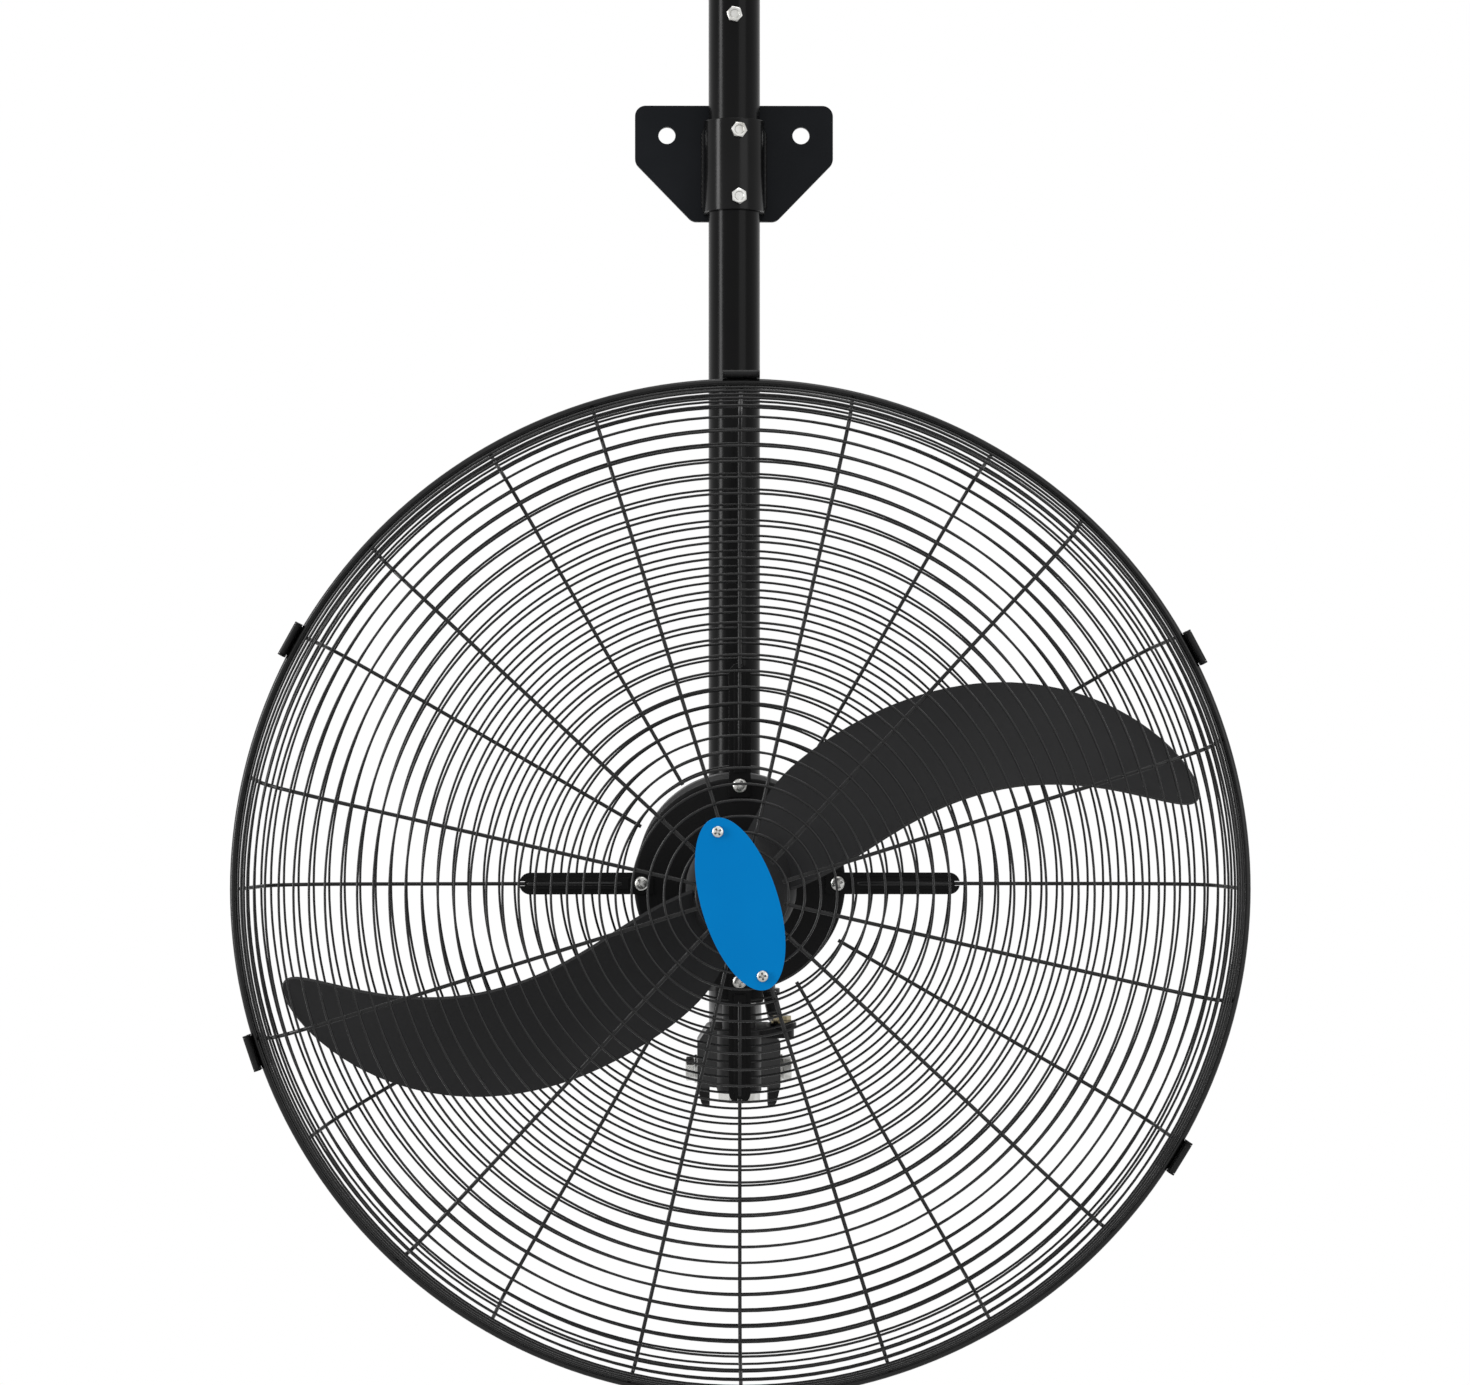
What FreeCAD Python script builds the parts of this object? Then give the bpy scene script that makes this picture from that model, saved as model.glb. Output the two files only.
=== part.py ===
import FreeCAD, Part
import math
import os

from FreeCAD import Placement, Rotation, Vector

# Oscillating wall fan on a drop pole. Millimetres, +Z up, the fan blows towards -Y.
# The origin is on the wall, midway between the two bolt holes of the wall plate.
# "Forward" is the distance in front of the pole axis, "rise" the height above the fan axis.

# Wall plate
PLATE_W = 186.0
PLATE_T = 6.0
PLATE_ABOVE_HOLES = 28.0
PLATE_SIDE_H = 54.0
PLATE_H = 109.0
PLATE_FOOT_W = 79.0
PLATE_CORNER_R = 10.0
WALL_HOLE_SPACING = 126.0
WALL_HOLE_D = 16.0

# Drop pole, its saddle and its bolts
POLE_OD = 48.0
POLE_WALL = 3.0
POLE_FIT = 0.3
POLE_ABOVE_HOLES = 165.0
POLE_BEND_R = 170.0
SADDLE_WALL = 4.0
SADDLE_H = 84.5
SADDLE_ABOVE_HOLES = 9.0
SET_BOLT_INSET = 11.0
SET_BOLT_TURN = 7.5
STOP_BOLT_Z = 105.0
STOP_BOLT_GRIP = 14.0
CAP_T = 3.0
CAP_PLUG = 18.0
M8_D = 8.0
M8_HEAD_AF = 13.0
M8_HEAD_H = 5.3

# Where the fan hangs
FAN_AXIS_DROP = 681.0
TUBE_BELOW_AXIS = 161.0
MOTOR_FACE_FORWARD = 404.2
SWIVEL_BEHIND_FACE = 28.2
TILT_BEHIND_SWIVEL = 51.0
CRANK_BEHIND_SWIVEL = 180.0
TUBE_PAST_TILT = 16.0

# Tilt neck
CHEEK_GAP = 0.5
CHEEK_T = 10.5
CHEEK_BACK = 26.0
CHEEK_DROP = 30.0
CHEEK_FOOT_AHEAD = 18.0
CHEEK_CORNER_R = 7.0
NECK_TOP_HALF = 26.0
NECK_SHOULDER = 14.0
NECK_FOOT_HALF = 31.0
NECK_ROUND_R = 5.0
NECK_TOP_RISE = -123.0
NECK_TOP_T = 8.0
NECK_WEB_BACK = 33.0
SOCKET_OD = 37.0
SOCKET_NECK_OD = 28.0
SOCKET_BOTTOM_RISE = -174.0
SOCKET_LIP = 1.5
SWIVEL_PIN_D = 20.0
SWIVEL_NUT_AF = 30.0
SWIVEL_NUT_H = 9.0
TILT_BOLT_D = 12.0
TILT_HEAD_AF = 18.0
TILT_HEAD_H = 7.5
TILT_WASHER_T = 2.0
TILT_WASHER_OD = 24.0
EAR_R = 10.0

# Oscillation crank and link
LUG_SIDE = 36.0
LUG_BEHIND_SWIVEL = 12.0
LUG_BOLT_D = 8.0
LUG_WASHER_OD = 19.0
LUG_WASHER_T = 1.5
LUG_HEAD_AF = 13.0
LUG_HEAD_H = 5.5
CRANK_R = 27.0
CRANK_REST_ANGLE = 15.0
CRANK_DISC_R = 34.0
CRANK_DISC_T = 6.0
CRANK_SHAFT_D = 14.0
CRANK_PIN_D = 10.0
CRANK_PIN_HEAD_D = 17.0
CRANK_PIN_HEAD_H = 5.0
LINK_W = 12.0
LINK_T = 4.0
LINK_EYE_R = 12.0
LINK_OPEN_CLEARANCE = 3.8
LINK_REAR_FLAT = 40.0
LINK_SLOPE_RUN = 64.0

# Motor
MOTOR_R = 87.5
MOTOR_WALL = 4.0
MOTOR_L = 270.2
DRUM_L = 164.2
COVER_ROUND_R = 47.0
FACE_PLATE_T = 6.0
SPIGOT_L = 8.0
NOSE_R = 20.0
NOSE_L = 8.0
FOOT_R = 20.0
FOOT_BOTTOM_RISE = -100.0
THRUST_WASHER_T = 2.0
SUMP_R = 33.0
SUMP_BOTTOM_RISE = -97.0
SHAFT_D = 14.0
SHAFT_TAIL_L = 232.2
BEARING_OD = 35.0
BEARING_W = 11.0
BEARING_BOSS_R = 24.0
SHIELD_T = 6.0
STATOR_BEHIND_FACE = 124.2
STATOR_L = 68.0
ROTOR_R = 49.5
AIR_GAP = 0.6
COIL_R = 66.0
COIL_WIRE_R = 10.5
GEAR_CASE_W = 86.0
GEAR_CASE_L = 62.0
GEAR_CASE_BELOW = 62.0
GEAR_CASE_ABOVE = 28.0

# Speed knob on the motor's side
KNOB_BEHIND_FACE = 210.2
KNOB_RISE = 41.0
KNOB_PAD_X = 88.5
KNOB_PAD_R = 30.0
KNOB_SKIRT_R = 19.0
KNOB_SKIRT_T = 4.0
KNOB_GRIP_R = 15.0
KNOB_GRIP_H = 14.0
KNOB_FLUTES = 12
KNOB_SPINDLE_D = 8.0
DIAL_R = 27.0
DIAL_T = 0.8
DIAL_SPAN = 170.0

# Impeller
HUB_R = 44.5
HUB_AHEAD_OF_FACE = 61.8
HUB_RIM_L = 34.0
HUB_DOME_L = 31.0
HUB_WALL = 5.0
HUB_BOSS_R = 15.0
SLEEVE_OD = 18.0
GRUB_D = 6.0
BLADE_TIP_R = 374.0
BLADE_ROOT_R = 40.0
BLADE_CHORD = 100.0
BLADE_ROOT_CHORD = 66.0
BLADE_FULL_CHORD_R = 95.0
BLADE_T = 4.0
BLADE_ROOT_ANGLE = 43.0
BLADE_SWEEP = 15.0
BLADE_TIP_SWEEP = 15.5
BLADE_AHEAD_OF_HUB = 34.0
BLADE_ROOT_PITCH = 23.0
BLADE_TIP_PITCH = 12.0
BLADE_TIP_FORWARD = 18.0
BLADE_CAMBER = 5.0

# Welded wire guard
GUARD_RIM_R = 407.0
RIM_WIRE_D = 6.0
RIM_GAP = 0.4
RING_WIRE_D = 2.0
SPOKE_WIRE_D = 3.2
WELD_GAP = 0.1
RING_PITCH = 12.8
WALL_LEAN = 17.0
WALL_L = 42.0
SHOULDER_R = 40.0
SHOULDER_TURN = 48.0
FACE_BLEND_R = 110.0
FACE_BLEND_TURN = 23.5
FIRST_RING = 9.0
FRONT_INNER_R = 36.0
REAR_INNER_R = 97.0
FACE_SPLIT_R = 215.0
SPOKE_OVERHANG = 3.0
SPOKE_COUNT = 12
FRONT_SPOKE_START = 17.2

# Guard arms on the motor face
ARM_COUNT = 4
ARM_W = 18.0
ARM_T = 2.0
ARM_INNER_R = 71.0
ARM_OUTER_R = 182.0
ARM_RIB_W = 9.5
ARM_SCREW_R = 81.0
ARM_SCREW_D = 6.0
ARM_SCREW_HEAD_D = 12.0
ARM_SCREW_HEAD_H = 4.0
ARM_SCREW_GRIP = 8.0

# Rim latches
LATCH_ANGLES = (28.0, 90.0, 151.0, 198.5, 270.0, 328.5)
LATCH_W = 26.0
LATCH_SHEET = 1.2
LATCH_PIN_D = 3.0
LATCH_PIN_AHEAD = 9.2
LATCH_PIN_ABOVE = 3.4
LATCH_EAR_T = 1.6
LATCH_TAB = 13.0
LATCH_LIP = 6.5

# Badge plate
BADGE_L = 140.0
BADGE_W = 60.0
BADGE_T = 1.5
BADGE_DROP = 6.4
BADGE_SCREW_SPACING = 118.0
BADGE_SCREW_D = 4.0
BADGE_SCREW_HEAD_D = 9.0
BADGE_SCREW_HEAD_H = 2.4
BADGE_CLIP_W = 12.0
BADGE_CLIP_L = 20.0
BADGE_CLIP_T = 2.0

# Clearances
RUN_FIT = 0.05
SEAT_GAP = 0.2
SIDE_GAP = 0.3

POLE_R = POLE_OD / 2
POLE_Y = -(PLATE_T + POLE_FIT + POLE_R)
SWIVEL_FORWARD = MOTOR_FACE_FORWARD - SWIVEL_BEHIND_FACE
TILT_FORWARD = SWIVEL_FORWARD - TILT_BEHIND_SWIVEL
CRANK_FORWARD = SWIVEL_FORWARD - CRANK_BEHIND_SWIVEL
MOTOR_BACK_FORWARD = MOTOR_FACE_FORWARD - MOTOR_L
COVER_SPLIT_FORWARD = MOTOR_FACE_FORWARD - DRUM_L
SHAFT_BACK_FORWARD = MOTOR_FACE_FORWARD - SHAFT_TAIL_L
STATOR_BACK_FORWARD = MOTOR_FACE_FORWARD - STATOR_BEHIND_FACE
KNOB_FORWARD = MOTOR_FACE_FORWARD - KNOB_BEHIND_FACE
HUB_BACK_FORWARD = MOTOR_FACE_FORWARD + HUB_AHEAD_OF_FACE
BLADE_FORWARD = HUB_BACK_FORWARD + BLADE_AHEAD_OF_HUB
FORWARD = Vector(0, -1, 0)
UP = Vector(0, 0, 1)
RIGHT = Vector(1, 0, 0)


def at(x, forward, rise):
    """A point by its side offset, its distance in front of the pole and its height over the fan axis."""
    return Vector(x, POLE_Y - forward, rise - FAN_AXIS_DROP)


def round_bar(radius, back, front):
    """A cylinder on the fan axis between two forward distances."""
    return Part.makeCylinder(radius, front - back, at(0, back, 0), FORWARD)


def collar(outer_r, inner_r, back, front):
    """A ring on the fan axis with a plain bore."""
    return round_bar(outer_r, back, front).cut(round_bar(inner_r, back, front))


def post(radius, forward, low, high, x=0.0):
    """A vertical cylinder between two rises."""
    return Part.makeCylinder(radius, high - low, at(x, forward, low), UP)


def spun(shape, angle):
    """A copy turned about the fan axis, anticlockwise as the viewer in front sees it."""
    copy = shape.copy()
    copy.rotate(at(0, 0, 0), FORWARD, angle)
    return copy


def aimed(shape, origin, direction):
    """The shape moved from the origin along +Z to a point and a direction."""
    shape.Placement = Placement(origin, Rotation(UP, direction))
    return shape


def rounded_outline(points, radius):
    """A closed wire through coplanar points, with every corner rounded."""
    starts = []
    edges = []
    count = len(points)
    for index, corner in enumerate(points):
        to_last = (points[index - 1] - corner).normalize()
        to_next = (points[(index + 1) % count] - corner).normalize()
        half = to_last.getAngle(to_next) / 2
        trim = radius / math.tan(half)
        middle = (to_last + to_next).normalize()
        crown = corner + middle * (radius / math.sin(half) - radius)
        starts.append((corner + to_last * trim, crown, corner + to_next * trim))
    for index, (enter, crown, leave) in enumerate(starts):
        edges.append(Part.Arc(enter, crown, leave).toShape())
        edges.append(Part.makeLine(leave, starts[(index + 1) % count][0]))
    return Part.Wire(edges)


def slab(points, radius, thickness):
    """A plate with rounded corners, extruded along a vector."""
    return Part.Face(rounded_outline(points, radius)).extrude(thickness)


def hexagon(across_flats, height):
    """A hexagonal prism standing on the origin."""
    corner_r = across_flats / math.sqrt(3)
    ring = [Vector(corner_r * math.cos(math.radians(60 * k)), corner_r * math.sin(math.radians(60 * k)), 0)
            for k in range(6)]
    return Part.Face(Part.makePolygon(ring + ring[:1])).extrude(Vector(0, 0, height))


def hex_bolt(shank_d, shank_l, across_flats, head_h):
    """A hex bolt along +Z: the head lies below the origin and the shank above it."""
    head = hexagon(across_flats, head_h)
    head.translate(Vector(0, 0, -head_h))
    return head.fuse(Part.makeCylinder(shank_d / 2, shank_l)).removeSplitter()


def pan_screw(shank_d, shank_l, head_d, head_h):
    """A pan-head screw along +Z with its head below the origin."""
    head = Part.makeCylinder(head_d / 2, head_h, Vector(0, 0, -head_h))
    rim = [edge for edge in head.Edges if edge.BoundBox.ZMax < -0.9 * head_h and edge.Closed]
    head = head.makeFillet(head_h * 0.6, rim)
    return head.fuse(Part.makeCylinder(shank_d / 2, shank_l))


# Wall plate, saddle and set bolts

def wall_plate():
    half = PLATE_W / 2
    foot = PLATE_FOOT_W / 2
    top = PLATE_ABOVE_HOLES
    corners = [Vector(-half, 0, top), Vector(half, 0, top), Vector(half, 0, top - PLATE_SIDE_H),
               Vector(foot, 0, top - PLATE_H), Vector(-foot, 0, top - PLATE_H),
               Vector(-half, 0, top - PLATE_SIDE_H)]
    plate = slab(corners, PLATE_CORNER_R, FORWARD * PLATE_T)
    for side in (-1, 1):
        hole = Part.makeCylinder(WALL_HOLE_D / 2, PLATE_T, Vector(side * WALL_HOLE_SPACING / 2, 0, 0), FORWARD)
        plate = plate.cut(hole)
    return plate


def saddle_half(radius):
    """The space inside a U of this radius, from the plate's face round the front of the pole."""
    bottom = SADDLE_ABOVE_HOLES - SADDLE_H
    legs = Part.makeBox(2 * radius, -POLE_Y - PLATE_T, SADDLE_H, Vector(-radius, POLE_Y, bottom))
    return legs.fuse(Part.makeCylinder(radius, SADDLE_H, Vector(0, POLE_Y, bottom)))


def saddle_axis():
    """The direction in which the set bolts point, square to the pole."""
    turn = math.radians(SET_BOLT_TURN)
    return Vector(-math.sin(turn), math.cos(turn), 0)


def set_bolt_heights():
    return (SADDLE_ABOVE_HOLES - SET_BOLT_INSET, SADDLE_ABOVE_HOLES - SADDLE_H + SET_BOLT_INSET)


def pole_saddle():
    inner_r = POLE_R + POLE_FIT
    strap = saddle_half(inner_r + SADDLE_WALL).cut(saddle_half(inner_r))
    front = Part.makeBox(4 * POLE_OD, -POLE_Y - PLATE_T + 2 * POLE_OD, SADDLE_H,
                         Vector(-2 * POLE_OD, POLE_Y - 2 * POLE_OD, SADDLE_ABOVE_HOLES - SADDLE_H))
    strap = strap.common(front)
    for z in set_bolt_heights():
        start = Vector(0, POLE_Y, z) - saddle_axis() * (2 * POLE_OD)
        strap = strap.cut(Part.makeCylinder(M8_D / 2 + RUN_FIT, 2 * POLE_OD, start, saddle_axis()))
    return strap


def saddle_set_bolts():
    seat_r = POLE_R + POLE_FIT + SADDLE_WALL + SEAT_GAP
    shank = seat_r - POLE_R - SIDE_GAP
    bolts = []
    for z in set_bolt_heights():
        seat = Vector(0, POLE_Y, z) - saddle_axis() * seat_r
        bolts.append(aimed(hex_bolt(M8_D, shank, M8_HEAD_AF, M8_HEAD_H), seat, saddle_axis()))
    return bolts


# Drop pole, its cap and its stop bolt

def pole_path():
    """The pole's centre line: down the wall, round the bend and forward under the motor."""
    bend_top = POLE_BEND_R - TUBE_BELOW_AXIS
    corner = math.radians(45)
    top = Vector(0, POLE_Y, POLE_ABOVE_HOLES)
    start = at(0, 0, bend_top)
    middle = at(0, POLE_BEND_R * (1 - math.cos(corner)), bend_top - POLE_BEND_R * math.sin(corner))
    finish = at(0, POLE_BEND_R, -TUBE_BELOW_AXIS)
    end = at(0, TILT_FORWARD + TUBE_PAST_TILT, -TUBE_BELOW_AXIS)
    return Part.Wire([Part.makeLine(top, start), Part.Arc(start, middle, finish).toShape(),
                      Part.makeLine(finish, end)])


def pole_bar(radius):
    top = Vector(0, POLE_Y, POLE_ABOVE_HOLES)
    return pole_path().makePipeShell([Part.Wire(Part.makeCircle(radius, top, UP))], True, False)


def tilt_hole(radius):
    """A bore across the pole's end and the fork, on the tilt axis."""
    span = 4 * POLE_OD
    return Part.makeCylinder(radius, span, at(-span / 2, TILT_FORWARD, -TUBE_BELOW_AXIS), RIGHT)


def drop_pole():
    tube = pole_bar(POLE_R).cut(pole_bar(POLE_R - POLE_WALL))
    tube = tube.cut(tilt_hole(TILT_BOLT_D / 2 + RUN_FIT))
    front = Vector(0, POLE_Y - POLE_OD, STOP_BOLT_Z)
    return tube.cut(Part.makeCylinder(M8_D / 2 + RUN_FIT, POLE_OD, front, -FORWARD))


def pole_top_cap():
    top = Vector(0, POLE_Y, POLE_ABOVE_HOLES)
    plug_r = POLE_R - POLE_WALL - SEAT_GAP
    lid = Part.makeCylinder(POLE_R, CAP_T, top)
    lid = lid.makeFillet(CAP_T / 2, [edge for edge in lid.Edges if edge.BoundBox.ZMin > top.z + CAP_T / 2])
    return lid.fuse(Part.makeCylinder(plug_r, CAP_PLUG, top - UP * CAP_PLUG))


def pole_stop_bolt():
    seat = Vector(0, POLE_Y - POLE_R - SEAT_GAP, STOP_BOLT_Z)
    return aimed(hex_bolt(M8_D, STOP_BOLT_GRIP, M8_HEAD_AF, M8_HEAD_H), seat, Vector(0, 1, 0))


# Tilt neck: a fork over the pole's end, a socket for the motor's swivel pin and an ear for the link

CHEEK_INNER_X = POLE_R + CHEEK_GAP
CHEEK_OUTER_X = CHEEK_INNER_X + CHEEK_T
WEB_FORWARD = TILT_FORWARD + NECK_WEB_BACK
SOCKET_TOP_RISE = FOOT_BOTTOM_RISE - THRUST_WASHER_T
LUG_FORWARD = SWIVEL_FORWARD - LUG_BEHIND_SWIVEL


def fork_block():
    """The outer block of the fork, rounded below, before the pole's slot is cut through it."""
    back = TILT_FORWARD - CHEEK_BACK
    low = -TUBE_BELOW_AXIS - CHEEK_DROP
    x = -CHEEK_OUTER_X
    web_low = SOCKET_BOTTOM_RISE + SOCKET_LIP
    nut_back = SWIVEL_FORWARD - SWIVEL_NUT_AF / math.sqrt(3) - CHEEK_CORNER_R / 2
    side = [at(x, back, NECK_TOP_RISE), at(x, SWIVEL_FORWARD, NECK_TOP_RISE),
            at(x, SWIVEL_FORWARD, web_low), at(x, nut_back, web_low),
            at(x, TILT_FORWARD + CHEEK_FOOT_AHEAD, low), at(x, TILT_FORWARD - CHEEK_BACK / 2, low),
            at(x, back, -TUBE_BELOW_AXIS)]
    block = slab(side, CHEEK_CORNER_R, RIGHT * (2 * CHEEK_OUTER_X))
    return block.common(fork_front())


def fork_front():
    """The fork as the viewer in front sees it: round shoulders, full cheeks and a narrower foot."""
    back = TILT_FORWARD - 2 * CHEEK_BACK
    low = -TUBE_BELOW_AXIS - CHEEK_DROP
    right = [(NECK_TOP_HALF, NECK_TOP_RISE), (CHEEK_OUTER_X, NECK_TOP_RISE - NECK_SHOULDER),
             (CHEEK_OUTER_X, -TUBE_BELOW_AXIS - TILT_WASHER_OD / 2 - SEAT_GAP), (NECK_FOOT_HALF, low)]
    outline = [at(x, back, rise) for x, rise in right] + [at(-x, back, rise) for x, rise in reversed(right)]
    return slab(outline, NECK_ROUND_R, FORWARD * (SWIVEL_FORWARD - back))


def neck_casting():
    low = -TUBE_BELOW_AXIS - 2 * CHEEK_DROP
    slot_h = NECK_TOP_RISE - NECK_TOP_T - low
    slot_l = WEB_FORWARD - TILT_FORWARD + 2 * CHEEK_BACK
    slot = Part.makeBox(2 * CHEEK_INNER_X, slot_l, slot_h, at(-CHEEK_INNER_X, WEB_FORWARD, low))
    fork = fork_block().cut(slot)
    taper = [at(SOCKET_OD / 2 - 2 * SOCKET_LIP, SWIVEL_FORWARD + 1, low),
             at(2 * CHEEK_OUTER_X, SWIVEL_FORWARD + 1, low),
             at(2 * CHEEK_OUTER_X, TILT_FORWARD + CHEEK_BACK, low),
             at(CHEEK_OUTER_X, TILT_FORWARD + CHEEK_BACK, low)]
    wedge = Part.Face(Part.makePolygon(taper + taper[:1])).extrude(UP * (4 * CHEEK_DROP + slot_h))
    fork = fork.cut(wedge)
    fork = fork.cut(wedge.mirror(Vector(0, 0, 0), RIGHT))
    socket = post(SOCKET_OD / 2, SWIVEL_FORWARD, SOCKET_BOTTOM_RISE, NECK_TOP_RISE)
    collar_top = post(SOCKET_NECK_OD / 2, SWIVEL_FORWARD, NECK_TOP_RISE, SOCKET_TOP_RISE)
    ear = post(EAR_R, LUG_FORWARD, NECK_TOP_RISE - NECK_TOP_T, NECK_TOP_RISE, LUG_SIDE)
    ear_root = Part.makeBox(LUG_SIDE, 2 * EAR_R, NECK_TOP_T,
                            at(0, LUG_FORWARD + EAR_R, NECK_TOP_RISE - NECK_TOP_T))
    neck = fork.fuse([socket, collar_top, ear, ear_root]).removeSplitter()
    bore = post(SWIVEL_PIN_D / 2 + RUN_FIT, SWIVEL_FORWARD, SOCKET_BOTTOM_RISE - 1, SOCKET_TOP_RISE + 1)
    lug_hole = post(LUG_BOLT_D / 2 + RUN_FIT, LUG_FORWARD, NECK_TOP_RISE - 2 * NECK_TOP_T,
                    NECK_TOP_RISE + 1, LUG_SIDE)
    return neck.cut(bore).cut(lug_hole).cut(tilt_hole(TILT_BOLT_D / 2 + RUN_FIT))


def tilt_bolt():
    seat_x = CHEEK_OUTER_X + TILT_WASHER_T + 2 * SEAT_GAP
    shank = 2 * seat_x + TILT_HEAD_H + SEAT_GAP
    seat = at(seat_x, TILT_FORWARD, -TUBE_BELOW_AXIS)
    return aimed(hex_bolt(TILT_BOLT_D, shank, TILT_HEAD_AF, TILT_HEAD_H), seat, -RIGHT)


def tilt_washers():
    washers = []
    for side in (-1, 1):
        near = at(side * (CHEEK_OUTER_X + SEAT_GAP), TILT_FORWARD, -TUBE_BELOW_AXIS)
        disc = Part.makeCylinder(TILT_WASHER_OD / 2, TILT_WASHER_T, near, RIGHT * side)
        washers.append(disc.cut(tilt_hole(TILT_BOLT_D / 2 + RUN_FIT)))
    return washers


def tilt_nut():
    near = at(-CHEEK_OUTER_X - TILT_WASHER_T - 2 * SEAT_GAP, TILT_FORWARD, -TUBE_BELOW_AXIS)
    return aimed(hexagon(TILT_HEAD_AF, TILT_HEAD_H), near, -RIGHT).cut(tilt_hole(TILT_BOLT_D / 2 + RUN_FIT))


def link_bolt():
    """The brass bolt that holds the link's front eye down on the ear, with a washer under its head."""
    seat = NECK_TOP_RISE + LINK_T + 2 * SIDE_GAP
    washer = post(LUG_WASHER_OD / 2, LUG_FORWARD, seat, seat + LUG_WASHER_T, LUG_SIDE)
    shank = seat - NECK_TOP_RISE + NECK_TOP_T
    bolt = aimed(hex_bolt(LUG_BOLT_D, shank, LUG_HEAD_AF, LUG_HEAD_H), at(LUG_SIDE, LUG_FORWARD, seat), -UP)
    return bolt.fuse(washer).removeSplitter()


def thrust_washer():
    disc = post(SOCKET_NECK_OD / 2, SWIVEL_FORWARD, SOCKET_TOP_RISE + SEAT_GAP, FOOT_BOTTOM_RISE - SEAT_GAP)
    return disc.cut(post(SWIVEL_PIN_D / 2 + RUN_FIT, SWIVEL_FORWARD, SOCKET_TOP_RISE - 1, FOOT_BOTTOM_RISE + 1))


# Oscillation crank and link rod

CRANK_TOP_RISE = SUMP_BOTTOM_RISE - SIDE_GAP
CRANK_BOTTOM_RISE = CRANK_TOP_RISE - CRANK_DISC_T
LINK_REAR_TOP = CRANK_BOTTOM_RISE - SIDE_GAP
LINK_FRONT_TOP = NECK_TOP_RISE + SIDE_GAP + LINK_T
PIN_X = CRANK_R * math.cos(math.radians(CRANK_REST_ANGLE))
PIN_FORWARD = CRANK_FORWARD - CRANK_R * math.sin(math.radians(CRANK_REST_ANGLE))


def crank_disc():
    disc = post(CRANK_DISC_R, CRANK_FORWARD, CRANK_BOTTOM_RISE, CRANK_TOP_RISE)
    shaft = post(CRANK_SHAFT_D / 2, CRANK_FORWARD, CRANK_BOTTOM_RISE, -GEAR_CASE_BELOW / 2)
    hole = post(CRANK_PIN_D / 2, PIN_FORWARD, CRANK_BOTTOM_RISE, CRANK_TOP_RISE, PIN_X)
    return disc.fuse(shaft).removeSplitter().cut(hole)


def crank_pin():
    head_top = LINK_REAR_TOP - LINK_T - SIDE_GAP
    pin = post(CRANK_PIN_D / 2 - RUN_FIT, PIN_FORWARD, head_top, CRANK_TOP_RISE, PIN_X)
    head = post(CRANK_PIN_HEAD_D / 2, PIN_FORWARD, head_top - CRANK_PIN_HEAD_H, head_top, PIN_X)
    return pin.fuse(head)


def link_rod():
    """A flat bar with an eye at each end, cranked down between the disc and the neck's ear."""
    run = Vector(LUG_SIDE - PIN_X, -(LUG_FORWARD - PIN_FORWARD), 0)
    slope_end = LINK_REAR_FLAT + LINK_SLOPE_RUN
    top = [(0, LINK_REAR_TOP), (LINK_REAR_FLAT, LINK_REAR_TOP), (slope_end, LINK_FRONT_TOP),
           (run.Length, LINK_FRONT_TOP)]
    under = [(along, rise - LINK_T) for along, rise in reversed(top)]
    outline = [Vector(along, -LINK_W / 2, rise - FAN_AXIS_DROP) for along, rise in top + under]
    bar = Part.Face(Part.makePolygon(outline + outline[:1])).extrude(Vector(0, LINK_W, 0))
    pin_foot = Vector(PIN_X, POLE_Y - PIN_FORWARD, 0)
    bar.Placement = Placement(pin_foot, Rotation(RIGHT, run))
    rear_eye = post(LINK_EYE_R, PIN_FORWARD, LINK_REAR_TOP - LINK_T, LINK_REAR_TOP, PIN_X)
    front_eye = post(LINK_EYE_R, LUG_FORWARD, LINK_FRONT_TOP - LINK_T, LINK_FRONT_TOP, LUG_SIDE)
    rod = bar.fuse([rear_eye, front_eye]).removeSplitter()
    rear_hole = post(CRANK_PIN_D / 2, PIN_FORWARD, LINK_FRONT_TOP, CRANK_TOP_RISE, PIN_X)
    open_r = LUG_BOLT_D / 2 + LINK_OPEN_CLEARANCE
    front_hole = post(open_r, LUG_FORWARD, NECK_TOP_RISE, CRANK_TOP_RISE, LUG_SIDE)
    return rod.cut(rear_hole).cut(front_hole)


# Motor: drum, front plate, rear cover, end shield and what turns and stands inside them

MOTOR_BORE_R = MOTOR_R - MOTOR_WALL
SHELL_FRONT_FORWARD = MOTOR_FACE_FORWARD - FACE_PLATE_T
SPIGOT_BACK_FORWARD = SHELL_FRONT_FORWARD - SPIGOT_L
FRONT_BEARING_BACK = SHELL_FRONT_FORWARD - BEARING_W
REAR_BEARING_BACK = COVER_SPLIT_FORWARD + SHIELD_T
SHAFT_R = SHAFT_D / 2


def motor_shell():
    drum = round_bar(MOTOR_R, COVER_SPLIT_FORWARD, SHELL_FRONT_FORWARD)
    drum = drum.fuse(post(FOOT_R, SWIVEL_FORWARD, FOOT_BOTTOM_RISE, -MOTOR_BORE_R / 2)).removeSplitter()
    drum = drum.cut(round_bar(MOTOR_BORE_R, COVER_SPLIT_FORWARD - 1, MOTOR_FACE_FORWARD))
    return drum.cut(post(SWIVEL_PIN_D / 2 + RUN_FIT, SWIVEL_FORWARD, FOOT_BOTTOM_RISE - 1, -MOTOR_BORE_R / 2))


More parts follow.
